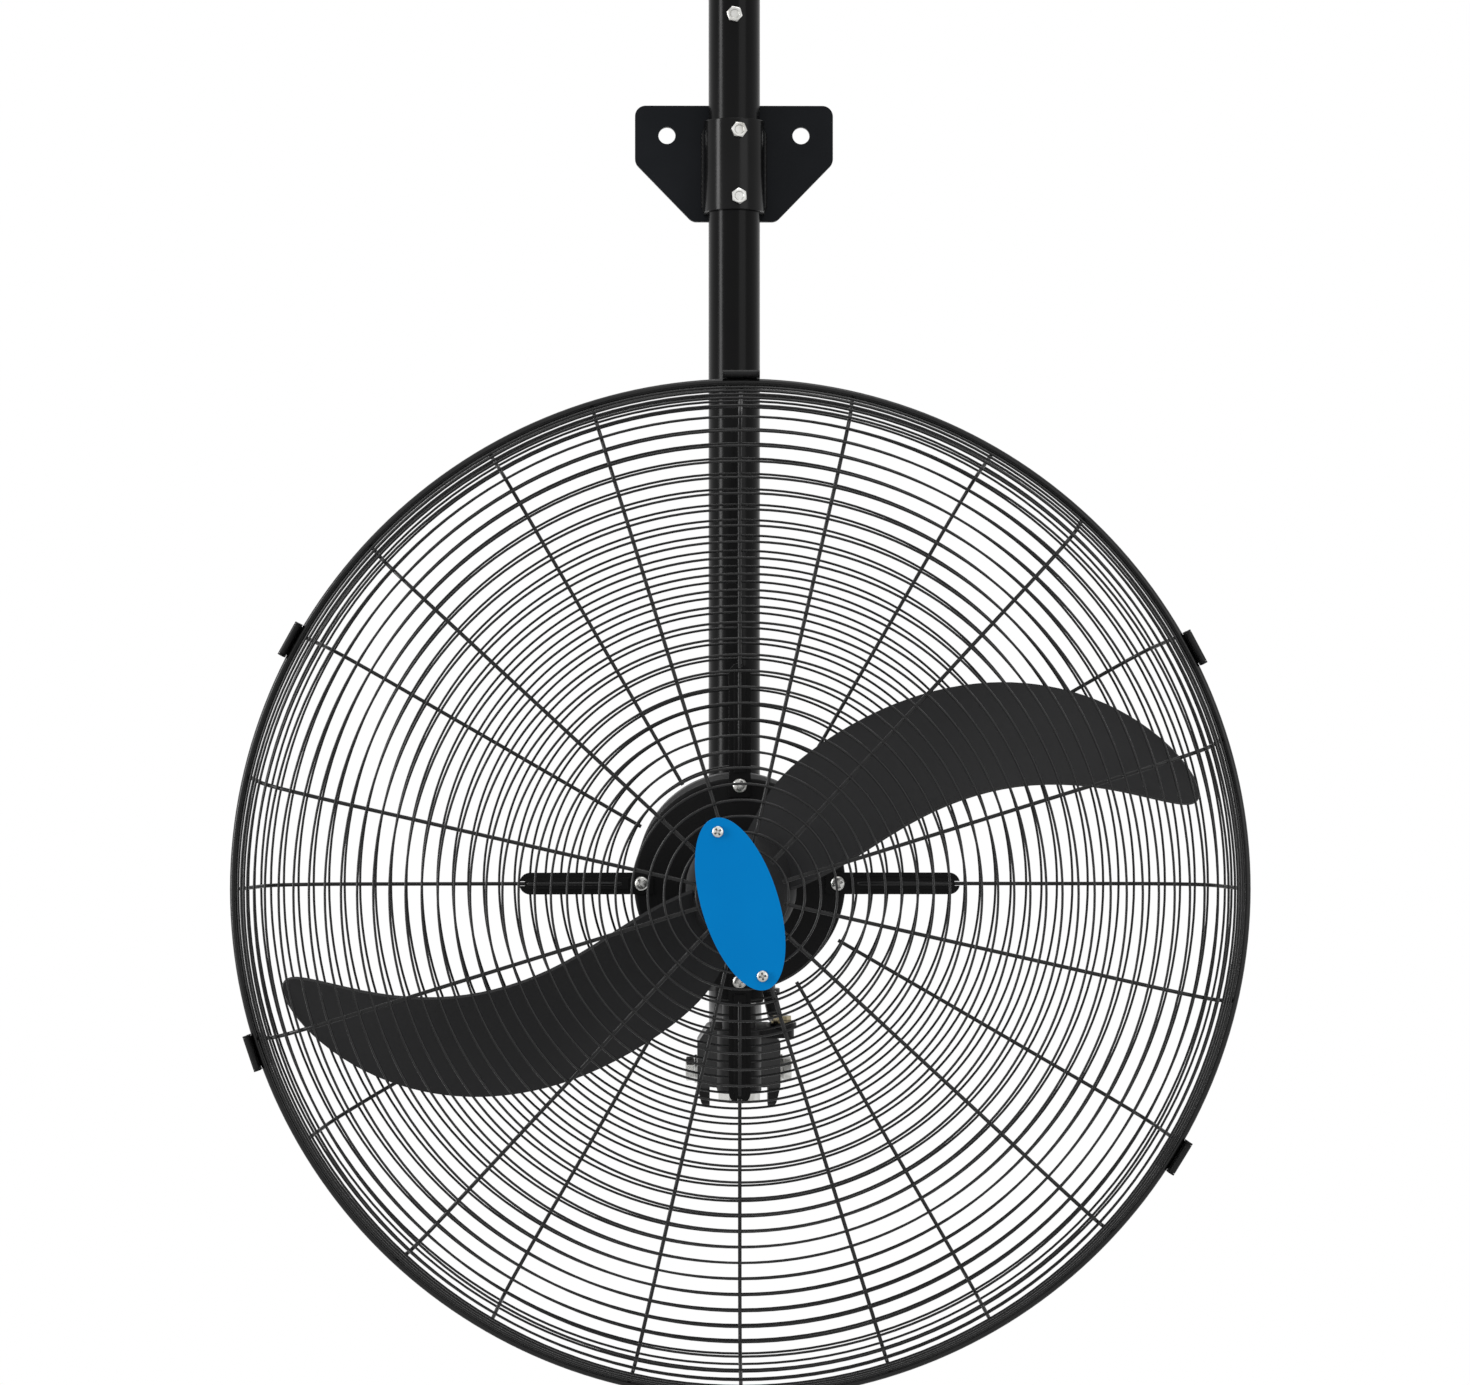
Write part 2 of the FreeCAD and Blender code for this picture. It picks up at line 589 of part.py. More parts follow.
def swivel_pin():
    low = SOCKET_BOTTOM_RISE - SEAT_GAP - SWIVEL_NUT_H
    return post(SWIVEL_PIN_D / 2, SWIVEL_FORWARD, low, -MOTOR_BORE_R - SEAT_GAP).cut(
        round_bar(MOTOR_BORE_R + SEAT_GAP, COVER_SPLIT_FORWARD, MOTOR_FACE_FORWARD))


def swivel_nut():
    nut = aimed(hexagon(SWIVEL_NUT_AF, SWIVEL_NUT_H), at(0, SWIVEL_FORWARD, SOCKET_BOTTOM_RISE - SIDE_GAP), -UP)
    return nut.cut(post(SWIVEL_PIN_D / 2 + RUN_FIT, SWIVEL_FORWARD, SOCKET_BOTTOM_RISE - 2 * SWIVEL_NUT_H,
                        SOCKET_BOTTOM_RISE))


def motor_front_plate():
    face = round_bar(MOTOR_R, SHELL_FRONT_FORWARD, MOTOR_FACE_FORWARD)
    face = face.makeFillet(FACE_PLATE_T / 2, [edge for edge in face.Edges
                                              if edge.BoundBox.YMax < at(0, SHELL_FRONT_FORWARD + 1, 0).y])
    spigot = collar(MOTOR_BORE_R - SEAT_GAP, MOTOR_BORE_R - MOTOR_WALL,
                    SPIGOT_BACK_FORWARD, SHELL_FRONT_FORWARD)
    boss = round_bar(BEARING_BOSS_R, FRONT_BEARING_BACK, SHELL_FRONT_FORWARD)
    nose = round_bar(NOSE_R, MOTOR_FACE_FORWARD, MOTOR_FACE_FORWARD + NOSE_L)
    plate = face.fuse([spigot, boss, nose]).removeSplitter()
    plate = plate.cut(round_bar(BEARING_OD / 2 + RUN_FIT, FRONT_BEARING_BACK - 1, SHELL_FRONT_FORWARD))
    plate = plate.cut(round_bar(SHAFT_R + SEAT_GAP, FRONT_BEARING_BACK, MOTOR_FACE_FORWARD + 2 * NOSE_L))
    for hole in arm_screw_shape(ARM_SCREW_D / 2 + RUN_FIT):
        plate = plate.cut(hole)
    return plate


def cover_profile(radius, back, round_r):
    """Half section of the rounded rear cover, from its back to the split with the drum."""
    corner = math.sqrt(0.5) * round_r
    start = at(0, back, 0)
    flat = at(radius - round_r, back, 0)
    mid = at(radius - round_r + corner, back + round_r - corner, 0)
    side = at(radius, back + round_r, 0)
    end = at(radius, COVER_SPLIT_FORWARD, 0)
    axis_end = at(0, COVER_SPLIT_FORWARD, 0)
    wire = Part.Wire([Part.makeLine(start, flat), Part.Arc(flat, mid, side).toShape(), Part.makeLine(side, end),
                      Part.makeLine(end, axis_end), Part.makeLine(axis_end, start)])
    return Part.Face(wire).revolve(at(0, 0, 0), FORWARD, 360)


def rear_cover():
    shell = cover_profile(MOTOR_R, MOTOR_BACK_FORWARD, COVER_ROUND_R)
    shell = shell.fuse(post(SUMP_R, CRANK_FORWARD, SUMP_BOTTOM_RISE, -MOTOR_BORE_R / 2))
    pad = Part.makeCylinder(KNOB_PAD_R, KNOB_PAD_X, at(0, KNOB_FORWARD, KNOB_RISE), RIGHT)
    shell = shell.fuse(pad).removeSplitter()
    shell = shell.cut(cover_profile(MOTOR_BORE_R, MOTOR_BACK_FORWARD + MOTOR_WALL, COVER_ROUND_R - MOTOR_WALL))
    shell = shell.cut(post(CRANK_SHAFT_D / 2 + RUN_FIT, CRANK_FORWARD, SUMP_BOTTOM_RISE - 1, 0))
    spindle = Part.makeCylinder(KNOB_SPINDLE_D / 2 + RUN_FIT, KNOB_PAD_X + 1,
                                at(0, KNOB_FORWARD, KNOB_RISE), RIGHT)
    return shell.cut(spindle)


def rear_shield():
    disc = round_bar(MOTOR_BORE_R - SEAT_GAP, COVER_SPLIT_FORWARD, COVER_SPLIT_FORWARD + SHIELD_T)
    boss = round_bar(BEARING_BOSS_R, COVER_SPLIT_FORWARD, REAR_BEARING_BACK + BEARING_W)
    shield = disc.fuse(boss).removeSplitter()
    seat_front = REAR_BEARING_BACK + 2 * BEARING_W
    shield = shield.cut(round_bar(BEARING_OD / 2 + RUN_FIT, REAR_BEARING_BACK, seat_front))
    return shield.cut(round_bar(SHAFT_R + SEAT_GAP, COVER_SPLIT_FORWARD - 1, REAR_BEARING_BACK + 1))


def gear_case():
    """The sealed oscillation gearbox, carried on the end shield inside the rear cover."""
    back = COVER_SPLIT_FORWARD - GEAR_CASE_L - SEAT_GAP
    half = GEAR_CASE_W / 2
    block = [at(-half, back, -GEAR_CASE_BELOW), at(half, back, -GEAR_CASE_BELOW),
             at(half, back, GEAR_CASE_ABOVE), at(-half, back, GEAR_CASE_ABOVE)]
    case = slab(block, PLATE_CORNER_R, FORWARD * GEAR_CASE_L)
    case = case.cut(round_bar(SHAFT_R + SEAT_GAP, back - 1, COVER_SPLIT_FORWARD))
    return case.cut(post(CRANK_SHAFT_D / 2 + RUN_FIT, CRANK_FORWARD, -2 * GEAR_CASE_BELOW, 0))


def bearing(back):
    return collar(BEARING_OD / 2, SHAFT_R + RUN_FIT, back, back + BEARING_W)


def stator_core():
    front = STATOR_BACK_FORWARD + STATOR_L
    return collar(MOTOR_BORE_R - SEAT_GAP, ROTOR_R + AIR_GAP, STATOR_BACK_FORWARD, front)


def stator_coils():
    gap = COIL_WIRE_R + SEAT_GAP
    ends = (STATOR_BACK_FORWARD - gap, STATOR_BACK_FORWARD + STATOR_L + gap)
    return [Part.makeTorus(COIL_R, COIL_WIRE_R, at(0, forward, 0), FORWARD) for forward in ends]


def motor_shaft():
    return round_bar(SHAFT_R, SHAFT_BACK_FORWARD, HUB_BACK_FORWARD + HUB_RIM_L)


def rotor_core():
    return collar(ROTOR_R, SHAFT_R + RUN_FIT, STATOR_BACK_FORWARD, STATOR_BACK_FORWARD + STATOR_L)


# Speed knob and its dial

def knob_cylinder(radius, inner, outer):
    return Part.makeCylinder(radius, outer - inner, at(inner, KNOB_FORWARD, KNOB_RISE), RIGHT)


def speed_knob():
    skirt_x = KNOB_PAD_X + DIAL_T + SIDE_GAP
    grip_x = skirt_x + KNOB_SKIRT_T
    top_x = grip_x + KNOB_GRIP_H
    grip = knob_cylinder(KNOB_GRIP_R, grip_x, top_x)
    flute_r = KNOB_GRIP_R * math.sin(math.pi / KNOB_FLUTES) / 2
    for index in range(KNOB_FLUTES):
        angle = 2 * math.pi * index / KNOB_FLUTES
        centre = at(grip_x, KNOB_FORWARD + KNOB_GRIP_R * math.cos(angle),
                    KNOB_RISE + KNOB_GRIP_R * math.sin(angle))
        grip = grip.cut(Part.makeCylinder(flute_r, KNOB_GRIP_H, centre, RIGHT))
    spindle = knob_cylinder(KNOB_SPINDLE_D / 2, KNOB_PAD_X - 2 * KNOB_GRIP_H, skirt_x)
    return grip.fuse([knob_cylinder(KNOB_SKIRT_R, skirt_x, grip_x), spindle]).removeSplitter()


def dial_plate():
    """A thin scale that shows as a crescent on the front side of the knob."""
    face_x = KNOB_PAD_X + SEAT_GAP / 2
    half = math.radians(DIAL_SPAN / 2)
    inner_r = KNOB_SPINDLE_D
    disc = knob_cylinder(DIAL_R, face_x, face_x + DIAL_T).cut(knob_cylinder(inner_r, face_x, face_x + DIAL_T))
    reach = 2 * DIAL_R
    wedge = [at(face_x, KNOB_FORWARD, KNOB_RISE),
             at(face_x, KNOB_FORWARD + reach * math.cos(half), KNOB_RISE + reach * math.sin(half)),
             at(face_x, KNOB_FORWARD + reach, KNOB_RISE + reach),
             at(face_x, KNOB_FORWARD + reach, KNOB_RISE - reach),
             at(face_x, KNOB_FORWARD + reach * math.cos(half), KNOB_RISE - reach * math.sin(half))]
    return disc.common(Part.Face(Part.makePolygon(wedge + wedge[:1])).extrude(RIGHT * DIAL_T))


# Impeller: a domed hub and two swept blades moulded in one

def blade_surface_point(radius, across):
    """A point of the blade's middle surface at a radius, with across from -1 (trailing) to 1 (leading)."""
    along = max(0.0, (radius - BLADE_FULL_CHORD_R) / (BLADE_TIP_R - BLADE_FULL_CHORD_R))
    root = min(1.0, (radius - BLADE_ROOT_R) / (BLADE_FULL_CHORD_R - BLADE_ROOT_R))
    chord = (BLADE_ROOT_CHORD + (BLADE_CHORD - BLADE_ROOT_CHORD) * root) * math.sqrt(1 - along ** 6)
    middle = BLADE_ROOT_ANGLE - BLADE_SWEEP * along - BLADE_TIP_SWEEP * along ** 2.2
    pitch = math.radians(BLADE_ROOT_PITCH + (BLADE_TIP_PITCH - BLADE_ROOT_PITCH) * along)
    offset = across * chord / 2
    angle = math.radians(middle) + offset * math.cos(pitch) / radius
    forward = BLADE_FORWARD + BLADE_TIP_FORWARD * along - offset * math.sin(pitch)
    forward += BLADE_CAMBER * (across * across - 1) * chord / BLADE_CHORD
    return at(radius * math.cos(angle), forward, radius * math.sin(angle))


def blade():
    """One blade: a smooth swept surface thickened to a plate."""
    last = BLADE_TIP_R - BLADE_T / 4
    row_count = 12
    column_count = 8
    rows = []
    for row in range(row_count + 1):
        share = row / row_count
        radius = BLADE_ROOT_R + (last - BLADE_ROOT_R) * (1 - (1 - share) ** 1.6)
        rows.append([blade_surface_point(radius, 2 * column / column_count - 1)
                     for column in range(column_count + 1)])
    surface = Part.BSplineSurface()
    surface.interpolate(rows)
    return surface.toShape().makeOffsetShape(BLADE_T, 0.01, fill=True)


def hub_body(radius, back, rim_front, dome_front):
    """A hub of this radius with an elliptical dome on its front."""
    start = at(0, back, 0)
    low = at(radius, back, 0)
    high = at(radius, rim_front, 0)
    tip = at(0, dome_front, 0)
    lean = math.sqrt(0.5)
    middle = at(radius * lean, rim_front + (dome_front - rim_front) * lean, 0)
    dome = Part.Arc(high, middle, tip).toShape()
    wire = Part.Wire([Part.makeLine(start, low), Part.makeLine(low, high), dome, Part.makeLine(tip, start)])
    return Part.Face(wire).revolve(at(0, 0, 0), FORWARD, 360)


def impeller():
    rim_front = HUB_BACK_FORWARD + HUB_RIM_L
    hub = hub_body(HUB_R, HUB_BACK_FORWARD, rim_front, rim_front + HUB_DOME_L)
    first = blade()
    solid = hub.fuse([first, spun(first, 180)])
    hollow = hub_body(HUB_R - HUB_WALL, HUB_BACK_FORWARD, rim_front, rim_front + HUB_DOME_L - HUB_WALL)
    boss = round_bar(HUB_BOSS_R, HUB_BACK_FORWARD, rim_front + HUB_DOME_L - HUB_WALL / 2)
    solid = solid.cut(hollow).fuse(boss.common(hub)).removeSplitter()
    solid = solid.cut(round_bar(SHAFT_R + RUN_FIT, HUB_BACK_FORWARD - 1, rim_front + SEAT_GAP))
    return solid.cut(grub_bore(GRUB_D / 2 + RUN_FIT, HUB_BOSS_R))


def grub_bore(radius, outer_r):
    """The radial hole of the set screw that locks the hub on the shaft."""
    forward = HUB_BACK_FORWARD + HUB_RIM_L / 4
    return Part.makeCylinder(radius, outer_r, at(0, forward, 0), UP)


def hub_grub_screw():
    return grub_bore(GRUB_D / 2, HUB_BOSS_R).cut(round_bar(SHAFT_R + RUN_FIT, HUB_BACK_FORWARD, BLADE_FORWARD))


def shaft_sleeve():
    back = MOTOR_FACE_FORWARD + NOSE_L + SIDE_GAP
    return collar(SLEEVE_OD / 2, SHAFT_R + RUN_FIT, back, HUB_BACK_FORWARD - SEAT_GAP)


# Guard: two welded wire halves that meet at the rim

RIM_OFFSET = (RIM_WIRE_D + RIM_GAP) / 2
SPOKE_START_R = GUARD_RIM_R - RIM_WIRE_D / 2 - SPOKE_WIRE_D / 2 - WELD_GAP
RING_OFFSET = (SPOKE_WIRE_D + RING_WIRE_D) / 2 + WELD_GAP


class GuardLine:
    """The half section of a guard half, walked from the rim: wall, shoulder, blend and flat face."""

    def __init__(self, offset, lead, inner_r):
        self.heading = math.radians(WALL_LEAN)
        self.depth = RIM_OFFSET + offset * math.sin(self.heading)
        self.radius = SPOKE_START_R + offset * math.cos(self.heading)
        self.edges = []
        self.step(lead)
        self.line(WALL_L - lead)
        self.turn(SHOULDER_R + offset, SHOULDER_TURN)
        self.shoulder_r = self.radius
        self.turn(FACE_BLEND_R + offset, FACE_BLEND_TURN)
        self.line((self.radius - inner_r) / math.sin(self.heading))
        self.wire = Part.Wire(self.edges)

    def point(self):
        return Vector(self.radius, -self.depth, 0)

    def step(self, length):
        self.depth += length * math.cos(self.heading)
        self.radius -= length * math.sin(self.heading)

    def line(self, length):
        start = self.point()
        self.step(length)
        self.edges.append(Part.makeLine(start, self.point()))

    def turn(self, bend_r, angle):
        points = [self.point()]
        for half in range(2):
            before = self.heading
            self.heading += math.radians(angle / 2)
            self.depth += bend_r * (math.sin(self.heading) - math.sin(before))
            self.radius -= bend_r * (math.cos(before) - math.cos(self.heading))
            points.append(self.point())
        self.edges.append(Part.Arc(*points).toShape())


FACE_SLOPE = math.radians(WALL_LEAN + SHOULDER_TURN + FACE_BLEND_TURN)
ARM_LEAN = 90 - math.degrees(FACE_SLOPE)


def arm_rise(radius):
    """How far a guard arm, leaning with the rear rings, stands forward of the motor face at a radius."""
    return (radius - ARM_INNER_R) * math.tan(math.radians(ARM_LEAN))


REAR_LINE = GuardLine(0, 0, REAR_INNER_R)
REAR_FACE_FORWARD = MOTOR_FACE_FORWARD + WELD_GAP + arm_rise(REAR_INNER_R) + SPOKE_WIRE_D / 2
RIM_FORWARD = REAR_FACE_FORWARD + REAR_LINE.depth
GUARD_CENTRE = at(0, RIM_FORWARD, 0)


def ring_stations(inner_r):
    """Depth, radius and band of every ring of a guard half, evenly spaced from the rim inwards."""
    line = GuardLine(RING_OFFSET, FIRST_RING, inner_r)
    count = round(line.wire.Length / RING_PITCH)
    points = line.wire.discretize(Number=count + 1)
    stations = []
    for point in points:
        band = "wall" if point.x > line.shoulder_r else "face" if point.x > FACE_SPLIT_R else "inner"
        stations.append((-point.y, point.x, band))
    return stations


def guard_rings(side, inner_r, band):
    """The rings of one band of a half: its side wall, its face or the middle of its face."""
    rings = []
    for depth, radius, own_band in ring_stations(inner_r):
        if own_band == band:
            centre = GUARD_CENTRE + FORWARD * (side * depth)
            rings.append(Part.makeTorus(radius, RING_WIRE_D / 2, centre, FORWARD))
    return rings


def guard_spokes(side, inner_r, start_angle):
    line = GuardLine(0, 0, inner_r - SPOKE_OVERHANG)
    tip = line.edges[0].Vertexes[0].Point
    lean = math.radians(WALL_LEAN)
    section = Part.makeCircle(SPOKE_WIRE_D / 2, tip, Vector(-math.sin(lean), -math.cos(lean), 0))
    wire = line.wire.makePipeShell([Part.Wire(section)], True, False)
    if side < 0:
        wire = wire.mirror(Vector(0, 0, 0), Vector(0, 1, 0))
    wire.translate(GUARD_CENTRE)
    return [spun(wire, start_angle + 360 / SPOKE_COUNT * index) for index in range(SPOKE_COUNT)]


def guard_rim(side):
    return Part.makeTorus(GUARD_RIM_R, RIM_WIRE_D / 2, GUARD_CENTRE + FORWARD * (side * RIM_OFFSET), FORWARD)


# Guard arms: straps whose hollow rib holds a spoke of the rear half down on the motor face

def arm_screw_shape(radius):
    back = MOTOR_FACE_FORWARD - ARM_SCREW_GRIP
    bar = Part.makeCylinder(radius, 2 * ARM_SCREW_GRIP, at(ARM_SCREW_R, back, 0), FORWARD)
    return [spun(bar, 360 / ARM_COUNT * index) for index in range(ARM_COUNT)]


def strap_plan(inner, outer, width, forward, height):
    """A bar along the radius with a round outer end, standing forward from a plane."""
    half = width / 2
    bar = Part.makeBox(outer - half - inner, height, width, at(inner, forward + height, -half))
    return bar.fuse(Part.makeCylinder(half, height, at(outer - half, forward, 0), FORWARD))


def guard_arms():
    back = MOTOR_FACE_FORWARD + WELD_GAP
    rib_h = SPOKE_WIRE_D + ARM_T + SIDE_GAP
    inset = (ARM_W - ARM_RIB_W) / 2
    rib_start = REAR_INNER_R - SPOKE_OVERHANG - ARM_T - SIDE_GAP
    strap = strap_plan(ARM_INNER_R, ARM_OUTER_R, ARM_W, back, ARM_T)
    rib = strap_plan(rib_start, ARM_OUTER_R - inset, ARM_RIB_W, back, rib_h)
    strap = strap.fuse(rib).removeSplitter()
    half_channel = SPOKE_WIRE_D / 2 + SIDE_GAP
    channel = Part.makeBox(ARM_OUTER_R, SPOKE_WIRE_D + SIDE_GAP, 2 * half_channel,
                           at(rib_start + ARM_T, back + SPOKE_WIRE_D + SIDE_GAP, -half_channel))
    strap = strap.cut(channel)
    strap.rotate(at(ARM_INNER_R, back, 0), UP, -ARM_LEAN)
    arms = [spun(strap, 360 / ARM_COUNT * index) for index in range(ARM_COUNT)]
    return [arm.cut(hole) for arm, hole in zip(arms, arm_screw_shape(ARM_SCREW_D / 2 + RUN_FIT))]


def arm_screws():
    seat = MOTOR_FACE_FORWARD + 2 * WELD_GAP + ARM_T + arm_rise(ARM_SCREW_R + ARM_SCREW_HEAD_D / 2)
    screw = pan_screw(ARM_SCREW_D, ARM_SCREW_GRIP, ARM_SCREW_HEAD_D, ARM_SCREW_HEAD_H)
    screw = aimed(screw, at(ARM_SCREW_R, seat, 0), Vector(0, 1, 0))
    return [spun(screw, 360 / ARM_COUNT * index) for index in range(ARM_COUNT)]


# Rim latches: a bracket on the front rim, and a lever that hooks behind the rear rim

RIM_TOP_R = GUARD_RIM_R + RIM_WIRE_D / 2
LATCH_PIN_R = RIM_TOP_R + LATCH_PIN_ABOVE
LATCH_EYE_R = LATCH_PIN_D / 2 + LATCH_SHEET


def latch_box(ahead_from, ahead_to, low_r, high_r, width):
    """A block at angle 0 of the rim, by its reach ahead of the rim plane, its radii and its width."""
    return Part.makeBox(high_r - low_r, ahead_to - ahead_from, width,
                        GUARD_CENTRE + Vector(low_r, -ahead_to, -width / 2))


def latch_bar(radius, width):
    centre = GUARD_CENTRE + Vector(LATCH_PIN_R, -LATCH_PIN_AHEAD, -width / 2)
    return Part.makeCylinder(radius, width, centre, UP)


def latch_brackets():
    """A foot on the front rim with two ears and the rivet that the lever turns on."""
    outer_w = LATCH_W + 2 * (LATCH_EAR_T + SIDE_GAP)
    foot_low = RIM_TOP_R + SIDE_GAP
    foot_front = LATCH_PIN_AHEAD - LATCH_EYE_R - SIDE_GAP
    foot = latch_box(RIM_GAP, foot_front, foot_low, foot_low + LATCH_SHEET, outer_w)
    ears = latch_bar(LATCH_EYE_R, outer_w)
    web = latch_box(RIM_GAP, LATCH_PIN_AHEAD, foot_low, LATCH_PIN_R, outer_w)
    room = latch_box(-LATCH_PIN_AHEAD, 3 * LATCH_PIN_AHEAD, foot_low + LATCH_SHEET, RIM_TOP_R * 2,
                     LATCH_W + 2 * SIDE_GAP)
    under = latch_bar(LATCH_EYE_R + SIDE_GAP, LATCH_W + 2 * SIDE_GAP)
    bracket = foot.fuse([ears, web]).cut(room).cut(under)
    bracket = bracket.fuse(latch_bar(LATCH_PIN_D / 2, outer_w)).removeSplitter()
    return [spun(bracket, angle) for angle in LATCH_ANGLES]


def latch_lever(angle):
    """A sheet lever with a rolled eye, a lip behind the rear rim and a thumb tab."""
    lip_front = -(RIM_OFFSET + RIM_WIRE_D / 2 + SIDE_GAP)
    lip_back = lip_front - LATCH_SHEET
    low = LATCH_PIN_R + LATCH_PIN_D / 2
    plate = latch_box(lip_back - LATCH_TAB, LATCH_PIN_AHEAD, low, low + LATCH_SHEET, LATCH_W)
    lip = latch_box(lip_back, lip_front, RIM_TOP_R - LATCH_LIP, low + LATCH_SHEET, LATCH_W)
    lever = plate.fuse([lip, latch_bar(LATCH_EYE_R, LATCH_W)]).removeSplitter()
    return spun(lever.cut(latch_bar(LATCH_PIN_D / 2 + RUN_FIT, LATCH_W)), angle)


# Badge plate, clipped to the innermost rings of the front half

def badge_back():
    """Forward distance of the badge's back: just in front of the foremost ring."""
    depth = ring_stations(FRONT_INNER_R)[-1][0]
    return RIM_FORWARD + depth + RING_WIRE_D / 2 + WELD_GAP


BADGE_TILT = FRONT_SPOKE_START + 90
BADGE_ASIDE = (SPOKE_WIRE_D + BADGE_SCREW_D) / 2 + SIDE_GAP
BADGE_LONG = Vector(math.cos(math.radians(BADGE_TILT)), 0, math.sin(math.radians(BADGE_TILT)))
BADGE_SHORT = Vector(-BADGE_LONG.z, 0, BADGE_LONG.x)
BADGE_SHIFT = BADGE_SHORT * BADGE_ASIDE - BADGE_LONG * BADGE_DROP


def badge_screw_points():
    """The two screws, on the long axis and beside the spoke that the badge follows."""
    return [BADGE_SHIFT + BADGE_LONG * (side * BADGE_SCREW_SPACING / 2) for side in (-1, 1)]


def badge_plate():
    centre = at(0, badge_back(), 0) + BADGE_SHIFT
    ellipse = Part.Ellipse(centre + BADGE_LONG * (BADGE_L / 2), centre + BADGE_SHORT * (BADGE_W / 2), centre)
    plate = Part.Face(Part.Wire(ellipse.toShape())).extrude(FORWARD * BADGE_T)
    for point in badge_screw_points():
        start = at(0, badge_back(), 0) + point
        plate = plate.cut(Part.makeCylinder(BADGE_SCREW_D / 2 + RUN_FIT, BADGE_T, start, FORWARD))
    return plate


def badge_clip_front():
    """Forward distance of the clips' front: just behind the spokes at the clips' outer ends."""
    outer_r = BADGE_DROP + (BADGE_SCREW_SPACING + BADGE_CLIP_L) / 2
    fall = (outer_r - FRONT_INNER_R) / math.tan(FACE_SLOPE)
    return badge_back() - RING_WIRE_D - SPOKE_WIRE_D - 3 * WELD_GAP - fall


def badge_screws():
    seat = at(0, badge_back() + BADGE_T + SEAT_GAP, 0)
    reach = badge_back() + BADGE_T + SEAT_GAP - badge_clip_front() + BADGE_CLIP_T
    return [aimed(pan_screw(BADGE_SCREW_D, reach, BADGE_SCREW_HEAD_D, BADGE_SCREW_HEAD_H), seat + point,
                  Vector(0, 1, 0)) for point in badge_screw_points()]


def badge_clips():
    """Threaded clips behind the spokes that the badge's screws pull on."""
    front = badge_clip_front()
    clips = []
    for point in badge_screw_points():
        corner = at(-BADGE_CLIP_W / 2, front, -BADGE_CLIP_L / 2)
        clip = Part.makeBox(BADGE_CLIP_W, BADGE_CLIP_T, BADGE_CLIP_L, corner)
        clip.rotate(at(0, front, 0), FORWARD, BADGE_TILT - 90)
        clip.translate(point)
        hole = Part.makeCylinder(BADGE_SCREW_D / 2 + RUN_FIT, 2 * BADGE_CLIP_T,
                                 at(0, front - 1.5 * BADGE_CLIP_T, 0) + point, FORWARD)
        clips.append(clip.cut(hole))
    return clips


# Every node with its solids

NODES = {
    "wall_plate": wall_plate(),
    "pole_saddle": pole_saddle(),
    "saddle_set_bolts": saddle_set_bolts(),
    "drop_pole": drop_pole(),
    "pole_top_cap": pole_top_cap(),
    "pole_stop_bolt": pole_stop_bolt(),
    "neck_casting": neck_casting(),
    "tilt_bolt": tilt_bolt(),
    "tilt_washers": tilt_washers(),
    "tilt_nut": tilt_nut(),
    "link_bolt": link_bolt(),
    "thrust_washer": thrust_washer(),
    "crank_disc": crank_disc(),
    "crank_pin": crank_pin(),
    "link_rod": link_rod(),
    "motor_shell": motor_shell(),
    "motor_front_plate": motor_front_plate(),
    "rear_cover": rear_cover(),
    "rear_shield": rear_shield(),
    "gear_case": gear_case(),
    "front_bearing": bearing(FRONT_BEARING_BACK),
    "rear_bearing": bearing(REAR_BEARING_BACK),
    "stator_core": stator_core(),
    "stator_coils": stator_coils(),
    "swivel_pin": swivel_pin(),
    "swivel_nut": swivel_nut(),
    "motor_shaft": motor_shaft(),
    "rotor_core": rotor_core(),
    "shaft_sleeve": shaft_sleeve(),
    "impeller": impeller(),
    "hub_grub_screw": hub_grub_screw(),
    "speed_knob": speed_knob(),
    "dial_plate": dial_plate(),
    "rear_guard_rim": guard_rim(-1),
    "rear_guard_wall_rings": guard_rings(-1, REAR_INNER_R, "wall"),
    "rear_guard_face_rings": guard_rings(-1, REAR_INNER_R, "face"),
    "rear_guard_inner_rings": guard_rings(-1, REAR_INNER_R, "inner"),
    "rear_guard_spokes": guard_spokes(-1, REAR_INNER_R, 0.0),
    "front_guard_rim": guard_rim(1),
    "front_guard_wall_rings": guard_rings(1, FRONT_INNER_R, "wall"),
    "front_guard_face_rings": guard_rings(1, FRONT_INNER_R, "face"),
    "front_guard_inner_rings": guard_rings(1, FRONT_INNER_R, "inner"),
    "front_guard_spokes": guard_spokes(1, FRONT_INNER_R, FRONT_SPOKE_START),
    "guard_arms": guard_arms(),
    "arm_screws": arm_screws(),
    "latch_brackets": latch_brackets(),
    "badge_plate": badge_plate(),
    "badge_screws": badge_screws(),
    "badge_clips": badge_clips(),
}
for number, latch_angle in enumerate(LATCH_ANGLES, 1):
    NODES["latch_lever_%d" % number] = latch_lever(latch_angle)

os.makedirs("parts", exist_ok=True)
for name, shape in NODES.items():
    solids = shape if isinstance(shape, list) else [shape]
    whole = Part.makeCompound(solids) if len(solids) > 1 else solids[0]
    if not all(solid.isValid() for solid in whole.Solids):
        raise ValueError(name)
    whole.exportStep("parts/%s.step" % name)
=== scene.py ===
import math

import bmesh
import bpy
from mathutils import Matrix, Vector


